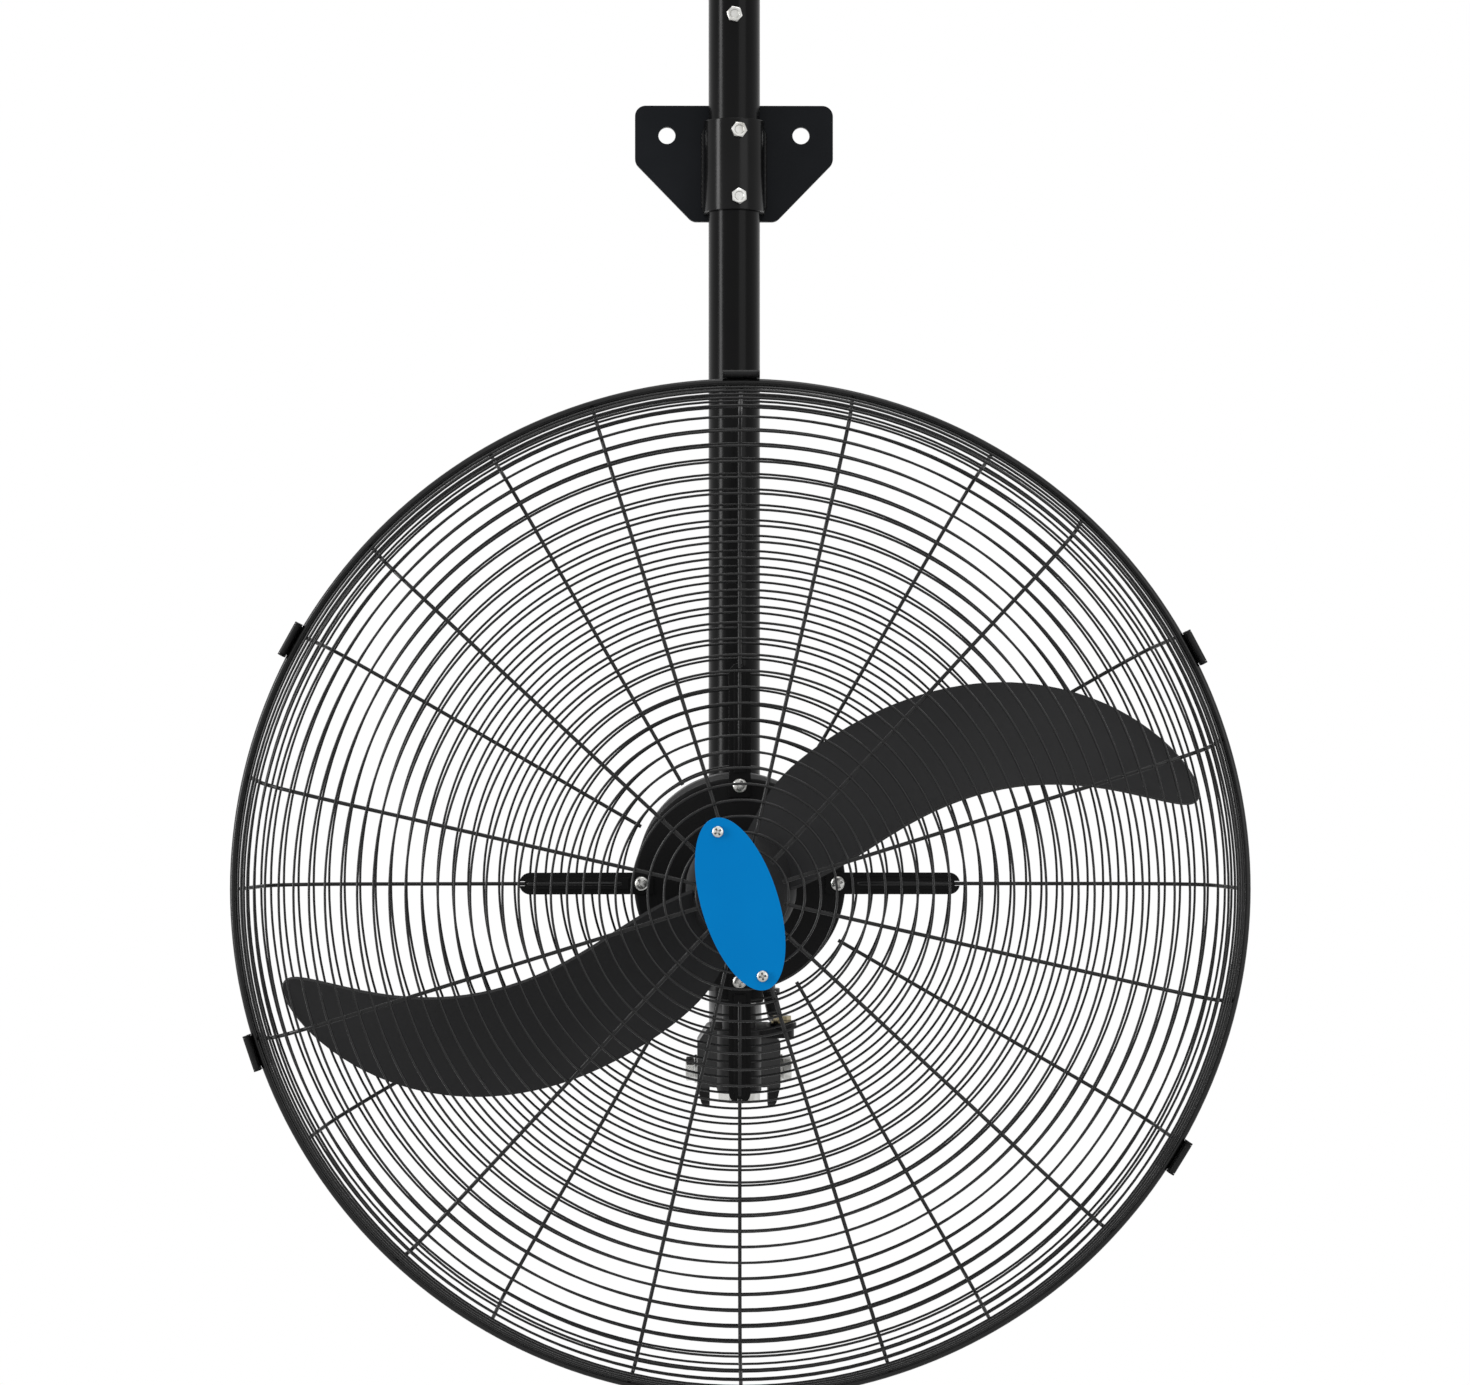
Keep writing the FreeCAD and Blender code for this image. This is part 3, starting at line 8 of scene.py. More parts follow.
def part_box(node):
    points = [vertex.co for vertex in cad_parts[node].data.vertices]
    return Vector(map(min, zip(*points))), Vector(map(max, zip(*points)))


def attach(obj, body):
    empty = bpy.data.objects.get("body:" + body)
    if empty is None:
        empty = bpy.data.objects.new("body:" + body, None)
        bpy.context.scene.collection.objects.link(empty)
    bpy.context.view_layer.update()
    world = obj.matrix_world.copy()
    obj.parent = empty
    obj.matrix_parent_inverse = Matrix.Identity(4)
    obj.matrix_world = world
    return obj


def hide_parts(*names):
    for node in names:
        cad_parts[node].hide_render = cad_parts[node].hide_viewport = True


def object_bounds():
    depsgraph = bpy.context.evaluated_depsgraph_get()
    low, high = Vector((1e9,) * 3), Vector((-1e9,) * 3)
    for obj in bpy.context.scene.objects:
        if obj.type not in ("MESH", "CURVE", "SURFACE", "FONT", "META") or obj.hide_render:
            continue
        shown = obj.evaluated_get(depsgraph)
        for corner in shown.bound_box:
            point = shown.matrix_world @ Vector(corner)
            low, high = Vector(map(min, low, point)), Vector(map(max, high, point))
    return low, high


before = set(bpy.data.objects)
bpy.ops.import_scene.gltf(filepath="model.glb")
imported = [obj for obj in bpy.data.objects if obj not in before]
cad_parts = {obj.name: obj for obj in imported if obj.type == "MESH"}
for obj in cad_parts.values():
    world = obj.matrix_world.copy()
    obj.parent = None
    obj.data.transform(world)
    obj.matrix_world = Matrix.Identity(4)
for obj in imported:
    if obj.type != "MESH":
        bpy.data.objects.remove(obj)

cad_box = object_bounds()


# Wall plate: a thick steel plate with clipped lower corners and two bolt holes.
# It is laser cut, linished and powder coated satin black, and bolts flat to the wall.

def skin_group(name, numbers, colours):
    """Starts a shader group on object coordinates that puts out a colour, a roughness and a height."""
    group = bpy.data.node_groups.new(name, "ShaderNodeTree")
    socket = group.interface.new_socket
    for label, value in colours.items():
        socket(label, in_out="INPUT", socket_type="NodeSocketColor").default_value = (*value, 1)
    for label, value in numbers.items():
        socket(label, in_out="INPUT", socket_type="NodeSocketFloat").default_value = value
    for label, kind in (("Colour", "Color"), ("Roughness", "Float"), ("Height", "Float")):
        socket(label, in_out="OUTPUT", socket_type="NodeSocket" + kind)
    entry = group.nodes.new("NodeGroupInput")
    leave = group.nodes.new("NodeGroupOutput")
    place = group.nodes.new("ShaderNodeTexCoord").outputs["Object"]
    return group, entry.outputs, leave.inputs, place


def noise(group, place, size, detail):
    """A noise texture whose scale comes from a socket."""
    node = group.nodes.new("ShaderNodeTexNoise")
    node.inputs["Detail"].default_value = detail
    group.links.new(place, node.inputs["Vector"])
    group.links.new(size, node.inputs["Scale"])
    return node.outputs["Fac"]


def band(group, value, start, end):
    """A range node that opens between two levels of a pattern."""
    node = group.nodes.new("ShaderNodeMapRange")
    node.inputs["From Min"].default_value = start
    node.inputs["From Max"].default_value = end
    group.links.new(value, node.inputs["Value"])
    return node


def spread(group, value, low, high, start=0.35, end=0.65):
    """Maps the middle of a pattern to the range between two sockets."""
    node = band(group, value, start, end)
    group.links.new(low, node.inputs["To Min"])
    group.links.new(high, node.inputs["To Max"])
    return node.outputs["Result"]


def blend(group, value, first, second, start=0.4, end=0.7):
    """Mixes two colour sockets by a pattern."""
    node = group.nodes.new("ShaderNodeMix")
    node.data_type = "RGBA"
    group.links.new(band(group, value, start, end).outputs["Result"], node.inputs["Factor"])
    group.links.new(first, node.inputs["A"])
    group.links.new(second, node.inputs["B"])
    return node.outputs["Result"]


def coat_skin():
    """Baked powder coat: fine orange peel, soft sheen patches and a little dust."""
    group, take, give, place = skin_group(
        "coat_skin",
        {"Peel": 700.0, "Patch": 9.0, "Shine": 0.3, "Dull": 0.45},
        {"Paint": (0.004, 0.004, 0.0042), "Dust": (0.008, 0.008, 0.0082)})
    patch = noise(group, place, take["Patch"], detail=5.0)
    group.links.new(blend(group, patch, take["Paint"], take["Dust"]), give["Colour"])
    group.links.new(spread(group, patch, take["Shine"], take["Dull"]), give["Roughness"])
    group.links.new(noise(group, place, take["Peel"], detail=2.0), give["Height"])
    return group


def surface(name, skin, bump, specular=0.5, metallic=0.0, edge=0.0, **values):
    """A material that lays a skin group, with values for its inputs, on a Principled shader.

    bump is the depth of its relief and edge the radius of its broken edges, both in metres.
    """
    material = bpy.data.materials.new(name)
    material.use_nodes = True
    nodes, links = material.node_tree.nodes, material.node_tree.links
    shader = nodes["Principled BSDF"]
    skin_node = nodes.new("ShaderNodeGroup")
    skin_node.node_tree = skin
    for label, value in values.items():
        skin_node.inputs[label].default_value = (*value, 1) if isinstance(value, tuple) else value
    relief = nodes.new("ShaderNodeBump")
    relief.inputs["Distance"].default_value = bump
    links.new(skin_node.outputs["Height"], relief.inputs["Height"])
    if edge:
        broken = nodes.new("ShaderNodeBevel")
        broken.samples = BEVEL_SAMPLES
        broken.inputs["Radius"].default_value = edge
        links.new(broken.outputs["Normal"], relief.inputs["Normal"])
    links.new(relief.outputs["Normal"], shader.inputs["Normal"])
    links.new(skin_node.outputs["Colour"], shader.inputs["Base Color"])
    links.new(skin_node.outputs["Roughness"], shader.inputs["Roughness"])
    shader.inputs["Metallic"].default_value = metallic
    shader.inputs["Specular IOR Level"].default_value = specular
    return material


def finish_nodes(material, *names):
    """Gives CAD nodes their finished material."""
    for name in names:
        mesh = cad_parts[name].data
        mesh.materials.clear()
        mesh.materials.append(material)


BEVEL_SAMPLES = 6
COAT = coat_skin()
bracket_black = surface("bracket_black", COAT, bump=0.00004, specular=0.1, edge=0.0012,
                        Paint=(0.0045, 0.0055, 0.0072), Dust=(0.008, 0.009, 0.0112),
                        Shine=0.34, Dull=0.46, Patch=14.0)
finish_nodes(bracket_black, "wall_plate")


# Pole saddle: a steel strap bent to a U round the pole and welded to the plate.
# The same black coat covers it, and two fillet weld beads run down its legs.

def placed(name, data):
    """A new object in the scene."""
    made = bpy.data.objects.new(name, data)
    bpy.context.scene.collection.objects.link(made)
    return made


def piece(name, mesh, material, body, slot, *replaced):
    """Wraps a finished mesh as a piece that rides on a body."""
    mesh.materials.clear()
    mesh.materials.append(material)
    made = placed(name, mesh)
    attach(made, body)
    if replaced:
        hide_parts(*replaced)


def smooth(mesh, angle=35.0):
    """Smooth shading that stays sharp at real edges."""
    mesh.shade_smooth()
    mesh.set_sharp_from_angle(angle=math.radians(angle))
    return mesh


def mesh_of(name, points, faces):
    """A mesh from points and faces."""
    mesh = bpy.data.meshes.new(name)
    mesh.from_pydata(points, [], faces)
    mesh.update()
    return mesh


def round_steps(count):
    """Cosine and sine of evenly spaced angles round a circle."""
    angles = [2 * math.pi * step / count for step in range(count)]
    return [(math.cos(angle), math.sin(angle)) for angle in angles]


def rows_to_faces(rows, columns, closed_rows=False):
    """Quads between rows of points, each row a closed loop; closed rows also join the last to the first."""
    faces = []
    for row in range(rows if closed_rows else rows - 1):
        here, below = row * columns, (row + 1) % rows * columns
        for column in range(columns):
            after = (column + 1) % columns
            faces.append((here + column, here + after, below + after, below + column))
    return faces


def sealed(mesh):
    """Merges the close points at the poles of a mesh and turns its faces outwards."""
    edit = bmesh.new()
    edit.from_mesh(mesh)
    bmesh.ops.remove_doubles(edit, verts=edit.verts, dist=MERGE_GAP)
    bmesh.ops.recalc_face_normals(edit, faces=edit.faces)
    edit.to_mesh(mesh)
    edit.free()
    return mesh


saddle_black = surface("saddle_black", COAT, bump=0.00001, specular=0.15, edge=0.0014,
                       Paint=(0.002, 0.002, 0.0021), Dust=(0.004, 0.004, 0.0042),
                       Shine=0.18, Dull=0.24, Patch=20.0)
finish_nodes(saddle_black, "pole_saddle")

MERGE_GAP = 0.00015
BEAD_R = 0.0028
BEAD_RIPPLE = 0.14
BEAD_RIPPLE_TURN = 1.9
BEAD_END_SIZE = 0.2
BEAD_END_RAMP = 12
BEAD_END_GAP = 0.003
BEAD_STEPS = 60
BEAD_SIDES = 8
saddle_low, saddle_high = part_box("pole_saddle")
bead_points = []
bead_faces = []
for side in (saddle_low.x, saddle_high.x):
    first = len(bead_points)
    for step in range(BEAD_STEPS + 1):
        share = step / BEAD_STEPS
        ramp = min(1.0, BEAD_END_RAMP * share + BEAD_END_SIZE, BEAD_END_RAMP * (1 - share) + BEAD_END_SIZE)
        swell = BEAD_R * (1 + BEAD_RIPPLE * math.sin(step * BEAD_RIPPLE_TURN)) * ramp
        z = saddle_low.z + BEAD_END_GAP + (saddle_high.z - saddle_low.z - 2 * BEAD_END_GAP) * share
        bead_points += [(side + swell * across, saddle_high.y + swell * along, z)
                        for across, along in round_steps(BEAD_SIDES)]
    last = len(bead_points)
    bead_faces += [tuple(first + corner for corner in face) for face in rows_to_faces(BEAD_STEPS + 1, BEAD_SIDES)]
    bead_faces.append(tuple(reversed(range(first, first + BEAD_SIDES))))
    bead_faces.append(tuple(range(last - BEAD_SIDES, last)))
weld_beads = sealed(mesh_of("saddle_weld_beads", bead_points, bead_faces))
piece("saddle_weld_beads", smooth(weld_beads), saddle_black, "wall_mount", "black_paint")


# Set bolts and stop bolt: M8 hexagon bolts of zinc plated steel.
# Two are screwed through the saddle against the pole, one through the pole's front wall above it.

def metal_skin():
    """Plated or machined metal: fine drawn lines, stains, and painted shade that darkens the recesses and crevices."""
    group, take, give, place = skin_group(
        "metal_skin",
        {"Lines": 260.0, "Stain": 60.0, "Shine": 0.22, "Dull": 0.42, "Reach": 0.0016},
        {"Bright": (0.6, 0.6, 0.58), "Stained": (0.42, 0.41, 0.38), "Recess shade": (0.02, 0.02, 0.02)})
    stain = noise(group, place, take["Stain"], detail=4.0)
    plated = blend(group, stain, take["Bright"], take["Stained"], start=0.45, end=0.75)
    # Ambient occlusion paints shade into recesses, crevices and joins between parts, turning the colour towards a
    # near-black painted shade there.
    hollow = group.nodes.new("ShaderNodeAmbientOcclusion")
    hollow.samples = RECESS_SHADE_SAMPLES
    hollow.only_local = True
    group.links.new(take["Reach"], hollow.inputs["Distance"])
    recess_shaded = blend(group, hollow.outputs["AO"], take["Recess shade"], plated, start=0.45, end=0.9)
    group.links.new(recess_shaded, give["Colour"])
    group.links.new(spread(group, stain, take["Shine"], take["Dull"]), give["Roughness"])
    group.links.new(noise(group, place, take["Lines"], detail=3.0), give["Height"])
    return group


def hex_head(name, across, height):
    """A hexagon head or nut with a washer face, a turned chamfer and a dished top, from z = 0 up."""
    flat = across / 2
    crown_r = flat * HEX_CROWN
    seat_r = flat * HEX_SEAT
    seat_top = height * HEX_SEAT_H
    dish_z = height - height * HEX_DISH
    half_side = math.pi / 6
    sections = []
    for column in range(HEX_COLUMNS):
        angle = 2 * math.pi * column / HEX_COLUMNS
        edge = flat / math.cos((angle + half_side) % (2 * half_side) - half_side)
        profile = ((HEX_POLE_R, 0.0), (seat_r, 0.0), (seat_r, seat_top), (edge, seat_top),
                   (edge, height - (edge - crown_r) * HEX_CHAMFER), (crown_r, height),
                   (crown_r * HEX_DISH_EDGE, height), (crown_r * HEX_DISH_FLOOR, dish_z), (HEX_POLE_R, dish_z))
        sections.append([(radius * math.cos(angle), radius * math.sin(angle), z) for radius, z in profile])
    points = [point for row in zip(*sections) for point in row]
    mesh = mesh_of(name, points, rows_to_faces(len(profile), HEX_COLUMNS, closed_rows=True))
    return smooth(sealed(mesh), HEX_SHARP)


def growth_tree(name, inputs):
    """Starts a node tree that grows a piece from a base mesh; inputs names its sockets and their kinds."""
    tree = bpy.data.node_groups.new(name, "GeometryNodeTree")
    for label, kind in {"Base": "Geometry", **inputs, "Finish": "Material"}.items():
        tree.interface.new_socket(label, in_out="INPUT", socket_type="NodeSocket" + kind)
    tree.interface.new_socket("Grown", in_out="OUTPUT", socket_type="NodeSocketGeometry")
    return tree, tree.nodes.new("NodeGroupInput").outputs


def close_tree(tree, entry, geometry, rounded=False):
    """Ends a tree with its instances made real and painted; rounded wire is shaded smooth."""
    real = tree.nodes.new("GeometryNodeRealizeInstances")
    paint = tree.nodes.new("GeometryNodeSetMaterial")
    leave = tree.nodes.new("NodeGroupOutput")
    tree.links.new(geometry, real.inputs["Geometry"])
    solid = real.outputs["Geometry"]
    if rounded:
        shade = tree.nodes.new("GeometryNodeSetShadeSmooth")
        tree.links.new(solid, shade.inputs["Geometry"])
        solid = shade.outputs["Geometry"]
    tree.links.new(solid, paint.inputs["Geometry"])
    tree.links.new(entry["Finish"], paint.inputs["Material"])
    tree.links.new(paint.outputs["Geometry"], leave.inputs["Grown"])
    return tree


def stored(tree, name, kind):
    """A named attribute of the points."""
    node = tree.nodes.new("GeometryNodeInputNamedAttribute")
    node.data_type = kind
    node.inputs["Name"].default_value = name
    return node.outputs["Attribute"]


def fastener_tree():
    """Sets one fastener on every point, its +Z along the point's aim and turned about it by the point's spin."""
    tree, entry = growth_tree("fasteners_on_points", {"Fastener": "Object"})
    new, link = tree.nodes.new, tree.links.new
    shape = new("GeometryNodeObjectInfo")
    align = new("FunctionNodeAlignRotationToVector")
    align.axis = "Z"
    about = new("ShaderNodeCombineXYZ")
    turn = new("FunctionNodeEulerToRotation")
    both = new("FunctionNodeRotateRotation")
    both.rotation_space = "LOCAL"
    copies = new("GeometryNodeInstanceOnPoints")
    link(entry["Fastener"], shape.inputs["Object"])
    link(stored(tree, "aim", "FLOAT_VECTOR"), align.inputs["Vector"])
    link(stored(tree, "spin", "FLOAT"), about.inputs["Z"])
    link(about.outputs["Vector"], turn.inputs["Euler"])
    link(align.outputs["Rotation"], both.inputs["Rotation"])
    link(turn.outputs["Rotation"], both.inputs["Rotate By"])
    link(entry["Base"], copies.inputs["Points"])
    link(shape.outputs["Geometry"], copies.inputs["Instance"])
    link(both.outputs["Rotation"], copies.inputs["Rotation"])
    return close_tree(tree, entry, copies.outputs["Instances"])


def settled(made):
    """The final mesh of an object, with its modifiers carried out."""
    bpy.context.view_layer.update()
    return bpy.data.meshes.new_from_object(made.evaluated_get(bpy.context.evaluated_depsgraph_get()))


def grown(name, base_mesh, tree, values):
    """Runs a node tree on a base mesh and returns the result as a plain mesh."""
    base = placed(name + "_base", base_mesh)
    modifier = base.modifiers.new("grow", "NODES")
    modifier.node_group = tree
    for item in tree.interface.items_tree:
        if item.in_out == "INPUT" and item.name in values:
            modifier[item.identifier] = values[item.name]
    mesh = settled(base)
    mesh.name = name
    base.modifiers.remove(modifier)
    bpy.data.objects.remove(base)
    return mesh


def zinc_heads(name, head, places, body, *replaced):
    """A piece of zinc plated copies of one head; each place is a point, an aim and a spin in degrees."""
    points = mesh_of(name + "_points", [place for place, aim, spin in places], [])
    points.attributes.new("aim", "FLOAT_VECTOR", "POINT")
    points.attributes.new("spin", "FLOAT", "POINT")
    for index, (place, aim, spin) in enumerate(places):
        points.attributes["aim"].data[index].vector = aim
        points.attributes["spin"].data[index].value = math.radians(spin)
    shape = bpy.data.objects.new(name + "_shape", head)
    mesh = grown(name, points, FASTENERS, {"Fastener": shape, "Finish": zinc_plate})
    bpy.data.objects.remove(shape)
    piece(name, mesh, zinc_plate, body, "zinc", *replaced)


# Samples of the ambient occlusion that paints shade into the metal's recesses.
RECESS_SHADE_SAMPLES = 8
METAL = metal_skin()
FASTENERS = fastener_tree()
zinc_plate = surface("zinc_plate", METAL, bump=0.00003, metallic=1.0,
                     Bright=(0.62, 0.62, 0.6), Stained=(0.4, 0.39, 0.36))

HEX_COLUMNS = 48
HEX_POLE_R = 0.0001
HEX_SHARP = 20.0
HEX_SEAT = 0.96
HEX_SEAT_H = 0.06
HEX_CROWN = 0.93
HEX_CHAMFER = 0.55
HEX_DISH = 0.16
HEX_DISH_EDGE = 0.74
HEX_DISH_FLOOR = 0.62
M8_ACROSS = 0.013
M8_HEIGHT = 0.0053
m8_corner = M8_ACROSS / math.sqrt(3)
m8_head = hex_head("m8_head", M8_ACROSS, M8_HEIGHT)

BOLT_TURN = math.radians(7.5)
BOLT_GAP = 0.0002
bolt_low, bolt_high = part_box("saddle_set_bolts")
pole_low, pole_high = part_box("drop_pole")
pole_axis = Vector((0.0, pole_high.y - (pole_high.x - pole_low.x) / 2, 0.0))
bolt_out = Vector((math.sin(BOLT_TURN), -math.cos(BOLT_TURN), 0.0))
bolt_seat = pole_axis + bolt_out * ((saddle_high.x - saddle_low.x) / 2 + BOLT_GAP)
set_places = [(Vector((bolt_seat.x, bolt_seat.y, bolt_low.z + m8_corner)), bolt_out, 12.0),
              (Vector((bolt_seat.x, bolt_seat.y, bolt_high.z - m8_corner)), bolt_out, 31.0)]
zinc_heads("saddle_bolt_heads", m8_head, set_places, "wall_mount", "saddle_set_bolts")

FORWARD = Vector((0.0, -1.0, 0.0))
stop_low, stop_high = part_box("pole_stop_bolt")
stop_place = Vector((0.0, stop_low.y + M8_HEIGHT, (stop_low.z + stop_high.z) / 2))
zinc_heads("stop_bolt_head", m8_head, [(stop_place, FORWARD, 17.0)], "pole", "pole_stop_bolt")


# Drop pole: a steel tube that hangs down the wall and bends forward under the motor.
# It is powder coated black and slides in the saddle; a plastic plug closes its top end.

def plastic_skin():
    """Moulded plastic: fine spark-eroded grain and faint flow marks."""
    group, take, give, place = skin_group(
        "plastic_skin",
        {"Grain": 1500.0, "Flow": 12.0, "Shine": 0.4, "Dull": 0.55},
        {"Body": (0.02, 0.02, 0.021), "Scuff": (0.03, 0.03, 0.031)})
    flow = noise(group, place, take["Flow"], detail=3.0)
    group.links.new(blend(group, flow, take["Body"], take["Scuff"]), give["Colour"])
    group.links.new(spread(group, flow, take["Shine"], take["Dull"]), give["Roughness"])
    group.links.new(noise(group, place, take["Grain"], detail=1.0), give["Height"])
    return group


PLASTIC = plastic_skin()
pole_black = surface("pole_black", COAT, bump=0.00002, specular=0.1,
                     Paint=(0.002, 0.002, 0.0021), Dust=(0.004, 0.004, 0.0042),
                     Shine=0.18, Dull=0.24, Patch=7.0)
plug_black = surface("plug_black", PLASTIC, bump=0.00004, specular=0.2, Shine=0.5, Dull=0.65)
finish_nodes(pole_black, "drop_pole")
finish_nodes(plug_black, "pole_top_cap")


# Tilt neck: an iron casting that straddles the pole's end and carries the motor on a swivel pin.
# One through bolt with washers and a nut clamps the tilt, a brassy bolt on its ear holds the link.

cast_black = surface("cast_black", COAT, bump=0.00012, specular=0.18, edge=0.0012,
                     Peel=320.0, Shine=0.3, Dull=0.5, Patch=30.0)
lug_yellow = surface("lug_yellow", METAL, bump=0.00003, metallic=1.0,
                     Bright=(0.32, 0.27, 0.16), Stained=(0.2, 0.17, 0.11))
turned_steel = surface("turned_steel", METAL, bump=0.00002, metallic=1.0,
                       Lines=420.0, Bright=(0.5, 0.5, 0.5), Stained=(0.38, 0.38, 0.37))
finish_nodes(cast_black, "neck_casting")
finish_nodes(zinc_plate, "tilt_washers", "swivel_nut")
finish_nodes(turned_steel, "thrust_washer", "swivel_pin")
finish_nodes(lug_yellow, "link_bolt")

TILT_ACROSS = 0.018
TILT_HEIGHT = 0.0075
tilt_low, tilt_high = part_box("tilt_bolt")
nut_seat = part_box("tilt_nut")[1].x
tilt_y = (tilt_low.y + tilt_high.y) / 2
tilt_z = (tilt_low.z + tilt_high.z) / 2
tilt_head = hex_head("tilt_head", TILT_ACROSS, TILT_HEIGHT)
tilt_places = [(Vector((tilt_high.x - TILT_HEIGHT, tilt_y, tilt_z)), Vector((1, 0, 0)), 8.0),
               (Vector((nut_seat, tilt_y, tilt_z)), Vector((-1, 0, 0)), 23.0)]
zinc_heads("tilt_bolt_heads", tilt_head, tilt_places, "tilt_neck", "tilt_bolt", "tilt_nut")


# Motor: a rolled steel drum between a cast front plate and a deep rounded rear cover.
# All three are painted satin black; windings, bearings and gearbox are closed inside.

motor_black = surface("motor_black", COAT, bump=0.00005, specular=0.02,
                      Paint=(0.015, 0.015, 0.0155), Dust=(0.019, 0.019, 0.0195),
                      Peel=420.0, Shine=0.6, Dull=0.7, Patch=5.0)
cover_black = surface("cover_black", COAT, bump=0.00007, specular=0.11, edge=0.0015,
                      Peel=380.0, Shine=0.42, Dull=0.54, Patch=6.0)
die_cast = surface("die_cast", METAL, bump=0.00006, metallic=1.0,
                   Lines=90.0, Bright=(0.55, 0.55, 0.55), Dull=0.6)
winding = surface("winding", METAL, bump=0.0003, metallic=1.0,
                  Lines=150.0, Bright=(0.6, 0.28, 0.12), Stained=(0.4, 0.16, 0.07))
finish_nodes(motor_black, "motor_shell")
finish_nodes(cover_black, "motor_front_plate", "rear_cover")
finish_nodes(die_cast, "rear_shield", "gear_case")
finish_nodes(winding, "stator_coils")
finish_nodes(turned_steel, "front_bearing", "rear_bearing", "stator_core", "motor_shaft", "rotor_core",
             "hub_grub_screw")


# Oscillation drive: a crank disc under the gearbox and a flat link rod to the ear of the neck.
# Both are blackened steel; the crank pin that the rod turns on is left bright.

link_black = surface("link_black", COAT, bump=0.00004, specular=0.2, edge=0.0005,
                     Shine=0.3, Dull=0.5, Patch=25.0)
finish_nodes(link_black, "crank_disc", "link_rod")
finish_nodes(turned_steel, "crank_pin")


# Speed knob: a fluted black moulding on a pad of the rear cover, with a white pointer line.
# A white printed scale lies under its front edge and numbers the switch positions.

knob_black = surface("knob_black", PLASTIC, bump=0.00002, specular=0.45, Shine=0.25, Dull=0.4, Grain=2200.0)
scale_white = surface("scale_white", PLASTIC, bump=0.00001,
                      Body=(0.78, 0.78, 0.77), Scuff=(0.66, 0.66, 0.64), Shine=0.35, Dull=0.5)
print_black = surface("print_black", PLASTIC, bump=0.00001, specular=0.3, Shine=0.5, Dull=0.6)
finish_nodes(knob_black, "speed_knob")
finish_nodes(scale_white, "dial_plate")

POINTER_T = 0.0003
POINTER_W = 0.0016
POINTER_FROM = 0.004
POINTER_TO = 0.0125
POINTER_BREAK = 0.0001
POINTER_REST = 67.5
SWITCH_STEP = 45.0
SWITCH_POSITIONS = 4
knob_low, knob_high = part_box("speed_knob")
knob_y = (knob_low.y + knob_high.y) / 2
knob_z = (knob_low.z + knob_high.z) / 2
pointer = bmesh.new()
bmesh.ops.create_cube(pointer, size=1.0)
bmesh.ops.scale(pointer, vec=(POINTER_T, POINTER_TO - POINTER_FROM, POINTER_W), verts=pointer.verts)
bmesh.ops.bevel(pointer, geom=pointer.edges, offset=POINTER_BREAK, segments=2, affect="EDGES")
pointer_mesh = bpy.data.meshes.new("knob_pointer")
pointer.to_mesh(pointer_mesh)
pointer.free()
pointer_mesh.transform(Matrix.Translation((knob_high.x, knob_y, knob_z))
                       @ Matrix.Rotation(math.radians(-POINTER_REST), 4, "X")
                       @ Matrix.Translation((0.0, -(POINTER_FROM + POINTER_TO) / 2, 0.0)))
piece("knob_pointer", smooth(pointer_mesh), scale_white, "speed_knob", "dial_white")

NUMERAL_R = 0.0232
NUMERAL_SIZE = 0.0062
NUMERAL_DEPTH = 0.00012
numeral_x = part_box("dial_plate")[1].x + NUMERAL_DEPTH
face_right = Matrix.Rotation(math.radians(90), 4, "Z") @ Matrix.Rotation(math.radians(90), 4, "X")
numerals = bmesh.new()
for digit in range(SWITCH_POSITIONS):
    text = bpy.data.curves.new("numeral", "FONT")
    text.body = str(digit)
    text.size = NUMERAL_SIZE
    text.align_x = "CENTER"
    text.align_y = "CENTER"
    text.extrude = NUMERAL_DEPTH
    holder = placed("numeral", text)
    numeral = settled(holder)
    bpy.data.objects.remove(holder)
    lean = math.radians(POINTER_REST - SWITCH_STEP * digit)
    spot = (numeral_x, knob_y - NUMERAL_R * math.cos(lean), knob_z + NUMERAL_R * math.sin(lean))
    numeral.transform(Matrix.Translation(spot) @ face_right)
    numerals.from_mesh(numeral)
numeral_mesh = bpy.data.meshes.new("dial_numerals")
numerals.to_mesh(numeral_mesh)
numerals.free()
piece("dial_numerals", numeral_mesh, print_black, "head", "black_plastic")


# Shaft sleeve: a green plastic spacer on the shaft between the motor and the hub.
# It slides over the shaft and sets how far the hub stands off the motor.

sleeve_green = surface("sleeve_green", PLASTIC, bump=0.00003,
                       Body=(0.012, 0.23, 0.1), Scuff=(0.02, 0.3, 0.15), Shine=0.35, Dull=0.5)
finish_nodes(sleeve_green, "shaft_sleeve")


# Impeller: a domed hub and two swept blades moulded in one from charcoal plastic.
# The hub slides on the shaft's end and is locked by a grub screw in its boss.

blade_charcoal = surface("blade_charcoal", PLASTIC, bump=0.00003, specular=0.09,
                         Body=(0.0265, 0.0265, 0.0272), Scuff=(0.0335, 0.0335, 0.0342),
                         Grain=900.0, Flow=6.0, Shine=0.42, Dull=0.52)
finish_nodes(blade_charcoal, "impeller")


# Guard: two halves of black coated steel wire, each a rim, rings and spokes welded together.
# The rear half is clamped to the motor face by the arms, the front half latches on at the rim.

